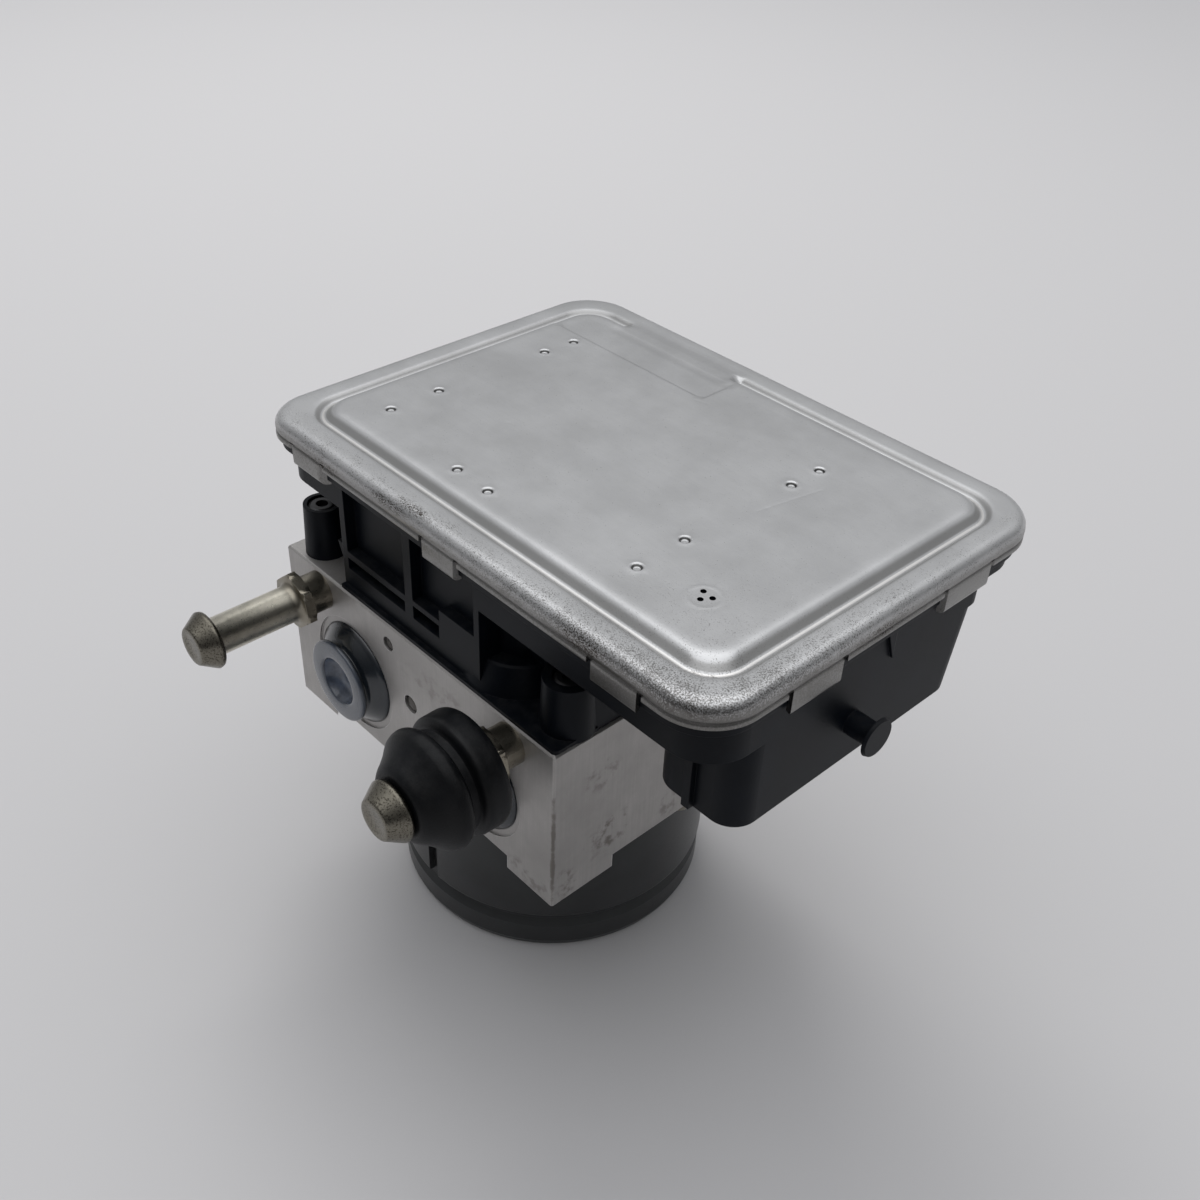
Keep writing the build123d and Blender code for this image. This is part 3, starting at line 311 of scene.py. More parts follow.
class Effects:
    """Shader node groups that several finishes share. Each is built once."""

    @staticmethod
    @cache
    def grain() -> Tree:
        """Surface grain: a fine and a broad variation and a height.

        Returns:
            The group's tree.
        """
        group = Group("grain", Fine_Scale=2500.0, Broad_Scale=60.0)
        fine = group.noise(group.place, group.given["Fine Scale"], 3.0)
        broad = group.noise(group.place, group.given["Broad Scale"], 5.0, 0.6)
        return group.give(Fine=fine, Broad=group.ramp(broad, 0.3, 0.7),
                          Height=group.plus(fine, group.times(broad, 0.4)))

    @staticmethod
    @cache
    def specks() -> Tree:
        """Dark pits and dirt specks that gather in patches.

        Returns:
            The group's tree.
        """
        group = Group("specks", Scale=900.0, Patch_Scale=70.0, Amount=0.12)
        cells = group.noise(group.place, group.given["Scale"], 2.0, 0.7)
        patches = group.noise(group.place, group.given["Patch Scale"], 3.0)
        level = group.plus(cells, group.times(patches, 0.35), group.given["Amount"])
        return group.give(Mask=group.ramp(level, 1.0, 1.05))

    @staticmethod
    @cache
    def scratches() -> Tree:
        """Thin handling scratches in two slanting directions.

        Returns:
            The group's tree.
        """
        group = Group("scratches", Scale=700.0, Amount=0.0)
        masks = []
        for turn, offset in ((0.5, 0.0), (2.1, 3.7)):
            place = group.mapped(group.place, "TEXTURE", Rotation=(0.0, 0.0, turn), Scale=(14.0, 1.0, 6.0),
                                 Location=(offset, offset, 0.0))
            lines = group.noise(place, group.given["Scale"], 1.0, 0.4, 0.3)
            masks.append(group.ramp(group.plus(lines, group.given["Amount"]), 0.80, 0.84))
        return group.give(Mask=group.maths("MAXIMUM", *masks))

    @staticmethod
    @cache
    def brushing() -> Tree:
        """Long parallel marks that run along the position's X axis.

        Returns:
            The group's tree.
        """
        group = Group("brushing", Scale=1800.0)
        drawn_out = group.mapped(group.place, "POINT", Scale=(0.03, 1.0, 1.0))
        lines = group.noise(drawn_out, group.given["Scale"])
        return group.give(Height=lines, Mask=group.ramp(lines, 0.3, 0.7))

    @staticmethod
    @cache
    def edges() -> Tree:
        """Rubbed edges: where the rounded normal leaves the face's own, broken up by noise.

        Returns:
            The group's tree.
        """
        group = Group("edge_wear", Radius=0.0004)
        soft = group.add("Bevel", samples=6, Radius=group.given["Radius"]).outputs["Normal"]
        bend = group.inverse(group.dot(soft, group.add("NewGeometry").outputs["Normal"]))
        chips = group.noise(group.place, 900.0, 4.0, 0.65)
        level = group.plus(group.times(bend, 6.0), group.times(chips, 0.9))
        return group.give(Mask=group.ramp(level, 0.75, 1.35))


# ---- marks of single pieces ----


class PaintedBeadLine(NamedTuple):
    """A line of painted shade or painted highlight that follows the cover's outline: a dark tint paints
    shade, a pale tint paints a highlight.

    start, full, fade and end are distances inside the outline, in metres.
    """

    start: float
    full: float
    fade: float
    end: float
    strength: float
    tint: Colour


class Marks(Wiring):
    """Wear, dirt, painted shade and painted highlights over a finish's colour, with a method for each kind of
    piece.

    Positions are metres, except in a Spot, which holds millimetres.
    """

    # Painted shade and a painted highlight along the bead: a dark band down the rim into the groove, a bright
    # line along the groove's floor, a dark band up the panel's shoulder.
    bead_shade_and_highlight_lines = (
        PaintedBeadLine(0.0064, 0.0070, 0.0076, 0.0080, 0.55, (0.27, 0.265, 0.255)),
        PaintedBeadLine(0.0081, 0.0083, 0.0087, 0.0089, 0.75, (0.93, 0.91, 0.88)),
        PaintedBeadLine(0.0090, 0.0093, 0.0101, 0.0108, 0.62, (0.24, 0.235, 0.225)))
    bead_gap = (-0.0305, -0.0295, 0.0085, 0.0100)
    dimple_wall_shade = (0.13193, 0.13202, 0.13224, 0.13242)
    cover_chips = (
        Spot((-2.0, -46.0, 129.4), (9.0, 2.5, 1.5)), Spot((5.0, -44.6, 130.8), (8.0, 1.6, 1.3)),
        Spot((-26.0, -46.3, 127.5), (8.0, 2.0, 1.5)), Spot((58.0, -45.5, 129.0), (9.0, 3.0, 2.5)),
        Spot((82.0, -41.0, 129.0), (8.0, 8.0, 2.5)), Spot((91.5, 2.0, 127.5), (2.0, 12.0, 1.6)))
    block_stains = (
        Spot((50.3, -28.0, 60.0), (3.0, 8.0, 9.0), 0.75), Spot((50.3, -6.0, 56.0), (3.0, 8.0, 6.0), 0.55),
        Spot((50.3, -31.0, 80.0), (3.0, 7.0, 6.0), 0.45), Spot((50.3, -41.0, 52.0), (3.0, 5.0, 6.0), 0.7),
        Spot((42.0, -45.0, 50.0), (9.0, 3.0, 5.0), 0.5), Spot((10.0, -45.0, 84.0), (16.0, 3.0, 6.0), 0.35))
    block_edge = Spot((50.3, -45.0, 66.0), (0.9, 0.9, 22.0), 0.7)

    def __init__(self, wires: Wiring, position: Socket, colour: Socket) -> None:
        """Keeps what the marks are laid on.

        Args:
            wires: the material's wiring.
            position: the surface position.
            colour: the colour so far.
        """
        super().__init__(wires.tree)
        self.position = position
        self.colour = colour

    def grit(self, scale: float, detail: float, rough: float) -> Socket:
        """Gives a noise's value at the surface."""
        return self.noise(self.position, scale, detail, rough)

    def outward(self) -> Socket:
        """Gives how far the surface lies out along -Y, in metres."""
        return self.times(self.axes(self.position)[1], -1.0)

    def lay(self, mask: Socket, strength: float, tint: Colour) -> None:
        """Lays a tint over the colour where the mask is on, at a strength."""
        self.colour = self.blend(self.times(mask, strength), self.colour, tint)

    def cover(self) -> None:
        """Pits rim and skirt, most at the knocked corner; paints glints on the rim, shade and a highlight
        line along the bead, and shade on the dimples' walls and over the whole skirt.
        """
        across, along, high = self.axes(self.position)
        fray, chips = self.grit(220.0, 6.0, 0.7), self.grit(3300.0, 4.0, 0.75)
        front = self.ramp(self.times(along, -1.0), 0.0365, 0.0455)
        right = self.times(self.ramp(across, 0.082, 0.090), 0.7)
        rim = self.maths("MAXIMUM", front, right)
        slant = self.minus(across, along)
        skirt = self.inverse(self.ramp(high, 0.1276, 0.1306))
        level = self.plus(self.times(rim, 0.11), self.times(self.ramp(slant, 0.085, 0.137), 0.085),
                          self.times(skirt, 0.055), self.times(self.ramp(slant, 0.060, 0.090), 0.04),
                          self.times(fray, 0.28), chips)
        self.lay(self.ramp(level, 0.80, 0.87), 0.72, DIRT)
        # Painted glints: bright specks along the rim.
        bright = self.ramp(self.grit(2900.0, 2.0, 0.6), 0.58, 0.66)
        self.lay(self.times(bright, rim), 0.7, RIM_GLINT)
        inside = self.inside(self.position, (0.01975, 0.0062), (0.07275, 0.0527), 0.0164)
        bead = self.inverse(self.times(self.ramp(along, 0.0400, 0.0405), self.band(across, *self.bead_gap)))
        # Paints the bead's shade and highlight lines, left off at the bead's gap.
        for line in self.bead_shade_and_highlight_lines:
            self.lay(self.times(self.band(inside, *line[:4]), bead), line.strength, line.tint)
        # Painted shade: darkens the whole skirt face.
        self.lay(skirt, 0.82, (0.17, 0.164, 0.155))
        shelf = self.times(self.ramp(along, 0.0325, 0.0330), self.inverse(self.ramp(across, 0.0120, 0.0125)))
        # Painted shade: dark rings on the dimples' walls, left off the shelf.
        dimples = self.times(self.band(high, *self.dimple_wall_shade), self.ramp(inside, 0.0136, 0.0140))
        self.lay(self.times(dimples, self.inverse(shelf)), 0.95, (0.03, 0.029, 0.028))
        self.lay(self.ramp(self.grit(34.0, 5.0, 0.6), 0.35, 0.75), 0.22, (0.34, 0.34, 0.335))
        for spot in self.cover_chips:
            knock = self.times(self.near(self.position, spot, fray), self.ramp(chips, 0.45, 0.55))
            self.lay(knock, spot.strength, DIRT)

    def block(self) -> None:
        """Lays soft brown stains, dull clouds and a grimy, knocked near edge on the block."""
        fray, grains = self.grit(110.0, 6.0, 0.65), self.grit(330.0, 4.0, 0.6)
        self.lay(self.ramp(fray, 0.40, 0.70), 0.30, (0.30, 0.287, 0.275))
        for spot in self.block_stains:
            stain = self.times(self.near(self.position, spot, fray), self.ramp(grains, 0.46, 0.66))
            self.lay(stain, spot.strength, (0.13, 0.112, 0.095))
        knock = self.near(self.position, self.block_edge, grains)
        self.lay(knock, self.block_edge.strength, (0.10, 0.085, 0.07))

    def pins(self) -> None:
        """Darkens the pins' heads and pits them, and paints shade on the hexagons and feet next to the block
        face.
        """
        out = self.outward()
        head = self.ramp(self.plus(out, self.times(self.grit(420.0, 5.0, 0.7), 0.0012)), 0.0744, 0.0757)
        # Painted shade on the hexagon and the pin's foot next to the block face.
        self.lay(self.inverse(self.ramp(out, 0.0535, 0.0565)), 0.72, (0.14, 0.12, 0.09))
        self.lay(head, 0.90, (0.150, 0.138, 0.112))
        pits = self.ramp(self.grit(2600.0, 3.0, 0.7), 0.52, 0.60)
        self.lay(self.times(head, pits), 0.8, (0.035, 0.03, 0.024))

    def caps(self) -> None:
        """Pales the caps' thin front ring, where light comes through, in milky clouds."""
        out = self.outward()
        milk = self.grit(130.0, 4.0, 0.5)
        front = self.ramp(self.plus(out, self.times(milk, 0.001)), 0.0494, 0.0508)
        pale = self.blend(milk, (0.030, 0.039, 0.056), (0.080, 0.096, 0.128))
        self.colour = self.blend(front, self.colour, pale)

    def dust(self) -> None:
        """Lets pale dust lie where a dark surface looks upwards."""
        upward = self.axes(self.add("NewGeometry").outputs["Normal"])[2]
        film = self.ramp(self.grit(300.0, 6.0, 0.7), 0.35, 0.75)
        self.lay(self.times(self.ramp(upward, 0.1, 1.0), film), 0.22, (0.055, 0.054, 0.053))


# ---- finishes ----


@dataclass(frozen=True)
class Finish:
    """A material: its colour, how rough and how metallic it is, and the effects laid over it.

    spread is how far the colour wanders, rounding and edge_radius are millimetres, and extra lays the marks
    of one kind of piece.
    """

    name: str
    colour: Colour
    rough: float = 0.5
    metallic: float = 0.0
    bump: float = 0.05
    fine_scale: float = 2500.0
    broad_scale: float = 60.0
    spread: float = 0.12
    speck_amount: float | None = None
    speck_colour: Colour = (0.02, 0.018, 0.015)
    scratch_amount: float | None = None
    scratch_colour: Colour = (0.85, 0.85, 0.85)
    brushed: float = 0.0
    brush_turn: Point3 = (0.0, 0.0, 0.0)
    coat: float = 0.0
    rounding: float = 0.25
    specular: float = 0.5
    edge_colour: Colour | None = None
    edge_radius: float = 0.4
    extra: Callable[[Marks], None] | None = None

    def layers(self, wires: Wiring, position: Socket) -> tuple[Socket, Socket, Socket]:
        """Wires the effects one over the other.

        Args:
            wires: the material's wiring.
            position: the surface position.

        Returns:
            The sockets of the colour, the roughness and the bump's height.
        """
        grain = wires.shared(Effects.grain(), position, Fine_Scale=self.fine_scale,
                             Broad_Scale=self.broad_scale)
        dark, light = (tuple(min(1.0, c * (1 + way * self.spread)) for c in self.colour) for way in (-1, 1))
        colour = wires.blend(grain["Broad"], dark, light)
        rough = wires.plus(self.rough - GRAIN_SWING / 2, wires.times(grain["Fine"], GRAIN_SWING))
        height = grain["Height"]
        if self.brushed:
            turned = wires.mapped(position, "POINT", Rotation=self.brush_turn)
            strokes = wires.shared(Effects.brushing(), turned)
            height = wires.plus(height, wires.times(strokes["Height"], self.brushed))
            colour = wires.blend(wires.times(strokes["Mask"], min(0.5, self.brushed * 3.0)), colour,
                                 tuple(c * STROKE_SHADE for c in self.colour))
        for effect, amount, strength, tint in (
                (Effects.specks, self.speck_amount, 1.0, self.speck_colour),
                (Effects.scratches, self.scratch_amount, SCRATCH_STRENGTH, self.scratch_colour)):
            if amount is not None:
                mask = wires.shared(effect(), position, Amount=amount)["Mask"]
                colour = wires.blend(wires.times(mask, strength), colour, tint)
                height = wires.minus(height, mask)
        if self.edge_colour:
            worn = wires.shared(Effects.edges(), position, Radius=self.edge_radius * MM)["Mask"]
            colour = wires.blend(worn, colour, self.edge_colour)
        if self.extra:
            marks = Marks(wires, position, colour)
            self.extra(marks)
            colour = marks.colour
        return colour, rough, height

    @cache
    def material(self) -> bpy.types.Material:
        """Builds the material, once.

        Returns:
            The material.
        """
        made = bpy.data.materials.new(f"finish_{self.name}")
        made.use_nodes = True
        made.node_tree.nodes.clear()
        wires = Wiring(made.node_tree)
        colour, rough, height = self.layers(wires, wires.add("TexCoord").outputs["Object"])
        bump = wires.add("Bump", Strength=self.bump, Distance=BUMP_DEPTH * MM, Height=height)
        if self.rounding:
            soft = wires.add("Bevel", samples=4, Radius=self.rounding * MM)
            wires.feed(bump.inputs["Normal"], soft.outputs["Normal"])
        skin = wires.add("BsdfPrincipled", Base_Color=colour, Roughness=rough, Normal=bump.outputs["Normal"],
                         Metallic=self.metallic, Specular_IOR_Level=self.specular, Coat_Weight=self.coat,
                         Coat_Roughness=COAT_ROUGHNESS)
        wires.add("OutputMaterial", Surface=skin.outputs["BSDF"])
        return made


MILLED = Finish(
    "milled_aluminium", (0.42, 0.405, 0.393), rough=0.42, metallic=0.7, bump=0.14, brushed=0.35,
    brush_turn=(0.0, 1.5708, 0.0), spread=0.10, speck_amount=-0.03, scratch_amount=-0.02,
    scratch_colour=(0.8, 0.8, 0.79), rounding=0.3, edge_colour=(0.66, 0.65, 0.64), extra=Marks.block)
STAMPED = Finish(
    "stamped_aluminium", (0.63, 0.632, 0.635), rough=0.31, metallic=0.88, bump=0.26, brushed=0.05,
    fine_scale=2600.0, spread=0.07, scratch_amount=-0.03, rounding=0.0, extra=Marks.cover)
MOTOR_COAT = Finish(
    "motor_coat", (0.022, 0.0235, 0.0245), rough=0.36, bump=0.12, spread=0.2, coat=0.1,
    edge_colour=(0.06, 0.062, 0.063))
HOUSING = Finish(
    "black_moulding", (0.0030, 0.0044, 0.0074), rough=0.42, bump=0.3, fine_scale=4200.0, spread=0.3,
    specular=0.13, extra=Marks.dust)
RUBBER = Finish(
    "bushing_rubber", (0.0034, 0.0039, 0.0050), rough=0.45, bump=0.35, spread=0.5, speck_amount=0.03,
    speck_colour=(0.03, 0.03, 0.029), rounding=0.0, specular=0.20, extra=Marks.dust)
ZINC = Finish(
    "yellow_zinc", (0.66, 0.625, 0.53), rough=0.30, metallic=1.0, bump=0.15, broad_scale=150.0, spread=0.22,
    speck_amount=0.02, speck_colour=(0.09, 0.075, 0.05), rounding=0.15, edge_colour=(0.7, 0.67, 0.6),
    edge_radius=0.25, extra=Marks.pins)
STEEL = Finish("plain_steel", (0.40, 0.40, 0.41), rough=0.3, metallic=1.0)
PLUG_STEEL = Finish(
    "staked_steel", (0.10, 0.092, 0.085), rough=0.45, metallic=0.8, bump=0.3, speck_amount=0.2)
SCREW_STEEL = Finish("screw_steel", (0.06, 0.06, 0.062), rough=0.35, metallic=0.8)
CAP_BLUE = Finish(
    "cap_plastic", (0.013, 0.017, 0.0225), rough=0.16, spread=0.35, speck_amount=0.02,
    speck_colour=(0.10, 0.11, 0.12), coat=0.5, rounding=0.2, extra=Marks.caps)
# Painted light: a paler copy of the cap plastic for the sunk disc, lit up to read pale in its shaded recess.
LIT_CAP_DISC = Finish(
    "cap_disc", (0.075, 0.094, 0.135), rough=0.2, spread=0.45, broad_scale=170.0, speck_amount=0.02,
    speck_colour=(0.2, 0.22, 0.24), coat=0.5, rounding=0.2)
NATURAL = Finish("natural_moulding", (0.62, 0.60, 0.55))
COPPER = Finish("copper", (0.55, 0.27, 0.14), rough=0.35, metallic=1.0)
ENAMEL = Finish("enamelled_wire", (0.28, 0.09, 0.03), rough=0.35, coat=0.4, brushed=1.0)
FERRITE = Finish("ferrite", (0.05, 0.05, 0.055), rough=0.6)
SOLDER_MASK = Finish("solder_mask", (0.012, 0.09, 0.035), rough=0.35, coat=0.3)
TIN = Finish("tinned_brass", (0.58, 0.55, 0.45), rough=0.3, metallic=1.0)
MEMBRANE = Finish("vent_film", (0.7, 0.7, 0.7), rough=0.8)
CAN = Finish("capacitor_can", (0.55, 0.55, 0.57), rough=0.3, metallic=1.0)


class Dressing:
    """Which finish each CAD node wears."""

    worn: dict[str, Finish] = {
        "valve_block": MILLED, "ball_plugs": PLUG_STEEL, "accumulator_caps": CAP_BLUE,
        "mounting_pin_left": ZINC, "mounting_pin_right": ZINC, "rubber_bushing": RUBBER,
        "motor_yoke": MOTOR_COAT, "flux_ring": MOTOR_COAT, "motor_screws": ZINC,
        "ecu_housing": HOUSING, "ecu_screws": SCREW_STEEL, "connector_pins": TIN, "cover": STAMPED,
        "magnets": FERRITE, "brushes": FERRITE, "windings": ENAMEL, "commutator": COPPER,
        "coil_terminals": TIN, "circuit_board": SOLDER_MASK, "board_chips": HOUSING, "board_capacitors": CAN,
        "vent_membrane": MEMBRANE, "motor_connector": HOUSING, "brush_holder": HOUSING,
        "inlet_coils": HOUSING, "outlet_coils": HOUSING,
    }

    def finish_of(self, node: str) -> Finish:
        """Picks a node's finish by its name. What isn't named is plain steel.

        Args:
            node: the CAD node's name.

        Returns:
            The finish it wears.
        """
        if node in self.worn:
            return self.worn[node]
        if "seal" in node or "gasket" in node:
            return RUBBER
        if node.startswith("accumulator_piston"):
            return NATURAL
        return STEEL

    def apply(self) -> None:
        """Dresses every CAD node in all its slots."""
        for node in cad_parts:
            piece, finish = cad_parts[node], self.finish_of(node)
            if not piece.material_slots:
                piece.data.materials.append(finish.material())
            for slot in piece.material_slots:
                slot.material = finish.material()
            LOG.info("dressed %s in %s", node, finish.name)


# ---- mesh making ----


def linked(name: str, data: bpy.types.ID) -> Piece:
    """Makes an object of its data and links it to the scene.

    Args:
        name: the object's name.
        data: its mesh, lamp or camera.

    Returns:
        The new object.
    """
    piece = bpy.data.objects.new(name, data)
    bpy.context.scene.collection.objects.link(piece)
    return piece


def piece_from(name: str, verts: Sequence[Point3], faces: Sequence[Face], finish: Finish,
               sharp: float = 40.0) -> Piece:
    """Makes a piece from millimetre points, shades it smooth and hangs it on the unit.

    Args:
        name: the piece's name.
        verts: its points in millimetres.
        faces: its faces as lists of point numbers.
        finish: the finish it wears.
        sharp: the angle in degrees above which an edge stays crisp.

    Returns:
        The new object.
    """
    mesh = bpy.data.meshes.new(name)
    mesh.from_pydata([tuple(v * MM for v in point) for point in verts], [], faces)
    work = bmesh.new()
    work.from_mesh(mesh)
    bmesh.ops.remove_doubles(work, verts=work.verts, dist=WELD)
    bmesh.ops.recalc_face_normals(work, faces=work.faces)
    work.to_mesh(mesh)
    work.free()
    for face in mesh.polygons:
        face.use_smooth = True
    mesh.set_sharp_from_angle(angle=math.radians(sharp))
    mesh.materials.append(finish.material())
    piece = linked(name, mesh)
    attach(piece, UNIT)
    LOG.info("made %s with %d faces", name, len(mesh.polygons))
    return piece


def circle(centre: Point2, radius: float, count: int) -> list[Point2]:
    """Gives points evenly round a circle."""
    turns = [math.tau * k / count for k in range(count)]
    return [(centre[0] + radius * math.cos(turn), centre[1] + radius * math.sin(turn)) for turn in turns]


def tube(rings: int, size: int, start: int = 0) -> list[Face]:
    """Joins rings of points by four-sided faces.

    Args:
        rings: how many rings follow each other.
        size: how many points each ring has.
        start: the first point's number.

    Returns:
        The faces.
    """
    faces: list[Face] = []
    for first in range(start, start + (rings - 1) * size, size):
        for count in range(size):
            a, b = first + count, first + (count + 1) % size
            faces.append((a, b, b + size, a + size))
    return faces


def flowing(points: Sequence[Point2], steps: int = 4) -> list[Point2]:
    """Runs a smooth line through profile points.

    Args:
        points: (distance, radius) points in order.
        steps: how many new points each span gets.

    Returns:
        The denser profile.
    """
    line = [points[0]] + list(points) + [points[-1]]
    result: list[Point2] = []
    for a, b, c, d in zip(line, line[1:], line[2:], line[3:]):
        for count in range(steps):
            t = count / steps
            result.append(tuple(0.5 * (2 * q + (r - p) * t + (2 * p - 5 * q + 4 * r - s) * t * t
                                       + (3 * q - p - 3 * r + s) * t ** 3)
                                for p, q, r, s in zip(a, b, c, d)))
    result.append(points[-1])
    return result


@dataclass
class Turning:
    """A turned or moulded round form along an axis that points out of the front face.

    A profile's point is (distance out, radius), with a third number where the ring is cut to the hexagon.
    """

    name: str
    base: Point3
    profile: Sequence[tuple[float, ...]]
    finish: Finish
    slot: str
    steps: int = 96
    hexagon: float = 0.0
    hex_turn: float = 0.0

    def radius_at(self, ring: tuple[float, ...], angle: float) -> float:
        """Gives a ring's radius at an angle: round, or cut to the hexagon.

        Args:
            ring: the profile's point.
            angle: the angle round the axis, in radians.

        Returns:
            The radius.
        """
        if len(ring) < 3:
            return ring[1]
        sixth = math.radians(60.0)
        off = (angle - self.hex_turn) % sixth - sixth / 2
        return min(ring[1], self.hexagon / 2 / math.cos(off))

    def build(self) -> Piece:
        """Turns the profile and makes the piece.

        Returns:
            The new object.
        """
        verts: list[Point3] = []
        x, y, z = self.base
        for ring in self.profile:
            for count in range(self.steps):
                angle = math.tau * count / self.steps + self.hex_turn
                radius = self.radius_at(ring, angle)
                verts.append((x + radius * math.cos(angle), y - ring[0], z + radius * math.sin(angle)))
        return piece_from(self.name, verts, tube(len(self.profile), self.steps), self.finish)


# ---- sub-assemblies ----


class Side(Enum):
    """The sides of the cover's outline, anticlockwise seen from above."""

    FRONT = 0
    RIGHT = 1
    REAR = 2
    LEFT = 3


class Hem(Enum):
    """What a column of the cover's skirt ends in."""

    PLAIN = "plain"
    SLIT = "slit"
    TAB = "tab"


class Station(NamedTuple):
    """A column of the skirt.

    It lies on its side, or on the corner that comes before that side, at a place from 0 to 1.
    """

    side: Side
    corner: bool
    place: float
    hem: Hem


@dataclass
class Cover:
    """The stamped lid: rolled skirt with crimp tabs, soft bead, raised panel with dimples and vent.

    All lengths are millimetres. Inward distances run from the outline towards the middle.
    """

    x0: float = -53.0
    x1: float = 91.7
    y0: float = -46.5
    y1: float = 58.9
    radii: Sequence[float] = (9.5, 12.5, 12.5, 12.5)
    inner_radii: Sequence[Point2] = ((7.4, 9.0), (9.4, 7.0), (14.0, 5.0))
    right_pull: float = 0.8
    pull_reach: float = 7.4
    corner_steps: int = 16
    pitch: float = 1.6
    sheet: float = 1.1
    skirt_bottom: float = 125.5
    skirt_inside: float = 128.6
    slit_top: float = 126.9
    slit_rise: float = 0.12
    slit: float = 1.2
    nick: float = 0.01
    tab_steps: int = 8
    tab_long: Sequence[Point2] = ((-39.4, -28.4), (9.5, 19.9), (61.3, 73.5))
    tab_short: Sequence[Point2] = ((-24.5, -10.0), (23.1, 38.2))
    tab_low_long: float = 121.6
    tab_low_short: float = 120.8
    tab_ledge: float = 122.75
    panel_top: float = 132.6
    inset: float = 15.0
    inset_right: float = 14.2
    dimples: Sequence[Point2] = (
        (-30.5, -25.0), (-30.8, -11.0), (-30.5, 21.7), (-30.0, 31.0), (0.0, -29.5), (11.0, -30.0),
        (51.0, -25.0), (50.4, -11.0), (50.5, 21.7), (50.6, 31.0))
    dimple_rings: Sequence[tuple[float, int]] = (
        (0.0, 1), (0.4, 8), (0.7, 14), (1.0, 18), (1.4, 24), (1.6, 24), (1.9, 24))
    dimple_depth: float = 0.62
    dimple_radius: float = 1.4
    dimple_wall: float = 0.6
    dimple_lip: float = 0.06
    lip_radius: float = 1.8
    dimple_clear: float = 2.6
    vent: Point2 = (66.4, -22.0)
    vent_holes: Sequence[Point2] = ((-1.4, 1.1), (0.0, -1.2), (1.3, 0.8))
    vent_rings: Sequence[tuple[float, int]] = (
        (2.4, 24), (2.8, 32), (3.15, 36), (3.5, 36), (3.85, 36), (4.2, 36), (4.7, 30))
    vent_ridge: float = 0.05
    ridge_radius: float = 3.5
    ridge_half: float = 0.7
    vent_clear: float = 5.2
    hole_radius: float = 0.65
    hole_steps: int = 14
    hole_collar: float = 0.2
    hole_open: float = 0.97
    hole_ends: Point2 = (0.02, 1.2)
    bead_gap: Point2 = (-30.5, 9.3)
    gap_levels: Point2 = (131.28, 132.28)
    gap_from: float = 5.0
    gap_slope: Point2 = (6.0, 6.5)
    gap_end: float = 1.6
    shelf_x: float = 11.3
    shelf_y: float = 34.8
    shelf_slope: float = 1.2
    shelf_drop: float = 0.50
    shelf_rim: Point2 = (9.5, 4.3)
    shelf_pitch: float = 0.8
    shelf_rows: Sequence[float] = (-0.9, -0.6, -0.3, 0.0, 0.3, 0.6, 0.9)
    shelf_clear: float = 1.0
    swell_from: float = 2.8
    waves: Sequence[Point3] = ((0.05, 0.035, 1.7), (0.02, 0.11, 5.2))
    rim_settle: float = 0.03
    panel_settle: float = 0.06
    creases: Sequence[tuple[float, float, float, float]] = (
        (52.8, 8.0, 56.0, 24.6), (24.8, -5.4, 26.2, -6.6), (-9.0, -8.4, -7.8, -7.4),
        (11.0, 33.0, 14.0, 33.8))
    crease_depth: float = 0.035
    crease_half: float = 0.45
    crease_pitch: float = 0.5
    crease_rows: Sequence[float] = (-0.5, -0.25, 0.0, 0.25, 0.5)
    net_weld: float = 1e-4
    top_profile: Sequence[Point2] = (
        (0.0, 125.7), (0.0, 126.4), (0.14, 126.65), (0.30, 126.9), (0.16, 127.2), (0.02, 127.6),
        (0.0, 128.3), (0.14, 129.2), (0.5, 130.0), (1.05, 130.7), (1.8, 131.15), (2.8, 131.3), (4.2, 131.3),
        (5.8, 131.28), (6.6, 131.2), (7.05, 131.0), (7.4, 130.65), (7.75, 130.3), (8.1, 130.16),
        (8.5, 130.15), (8.85, 130.28), (9.2, 130.55), (9.8, 131.12), (10.6, 131.85), (10.95, 132.12),
        (11.35, 132.35), (11.9, 132.5), (12.7, 132.58), (13.8, 132.6))

    def corner_radius(self, inward: float, first: float) -> float:
        """Gives a corner's radius inside the outline.

        Args:
            inward: the inward distance.
            first: the outline's own radius at that corner.

        Returns:
            The radius there.
        """
        marks = ((0.0, first), *self.inner_radii)
        for (d0, r0), (d1, r1) in zip(marks, marks[1:]):
            if inward <= d1:
                return r0 + (r1 - r0) * (inward - d0) / (d1 - d0)
        return marks[-1][1]

    def stations(self) -> list[Station]:
        """Lists the columns of the skirt round the outline, from the front side's left end.

        Returns:
            The columns in order, anticlockwise seen from above.
        """
        columns: list[Station] = []
        runs = ((self.tab_long, self.x0, self.x1), (self.tab_short, self.y0, self.y1),
                (self.tab_long, self.x1, self.x0), (self.tab_short, self.y1, self.y0))
        for side, (tabs, start, end) in zip(Side, runs):
            after = Side((side.value + 1) % len(Side))
            way = 1.0 if end > start else -1.0
            low, high = start + way * self.radii[side.value], end - way * self.radii[after.value]
            count = int(abs(high - low) / self.pitch)
            even = [low + (high - low) * step / count for step in range(count + 1)]
            places = [(value, Hem.PLAIN) for value in even
                      if not any(a - self.slit < value < b + self.slit for a, b in tabs)]
            for a, b in tabs:
                places += [(a - self.slit - self.nick, Hem.PLAIN), (a - self.slit + self.nick, Hem.SLIT),
                           (a - self.nick, Hem.SLIT), (b + self.nick, Hem.SLIT),
                           (b + self.slit - self.nick, Hem.SLIT), (b + self.slit + self.nick, Hem.PLAIN)]
                places += [(a + self.nick + (b - a - 2 * self.nick) * step / self.tab_steps, Hem.TAB)
                           for step in range(self.tab_steps + 1)]
            places.sort(key=lambda item: way * item[0])
            columns += [Station(side, False, (value - low) / (high - low), hem) for value, hem in places]
            columns += [Station(after, True, step / self.corner_steps, Hem.PLAIN)
                        for step in range(1, self.corner_steps)]
        return columns

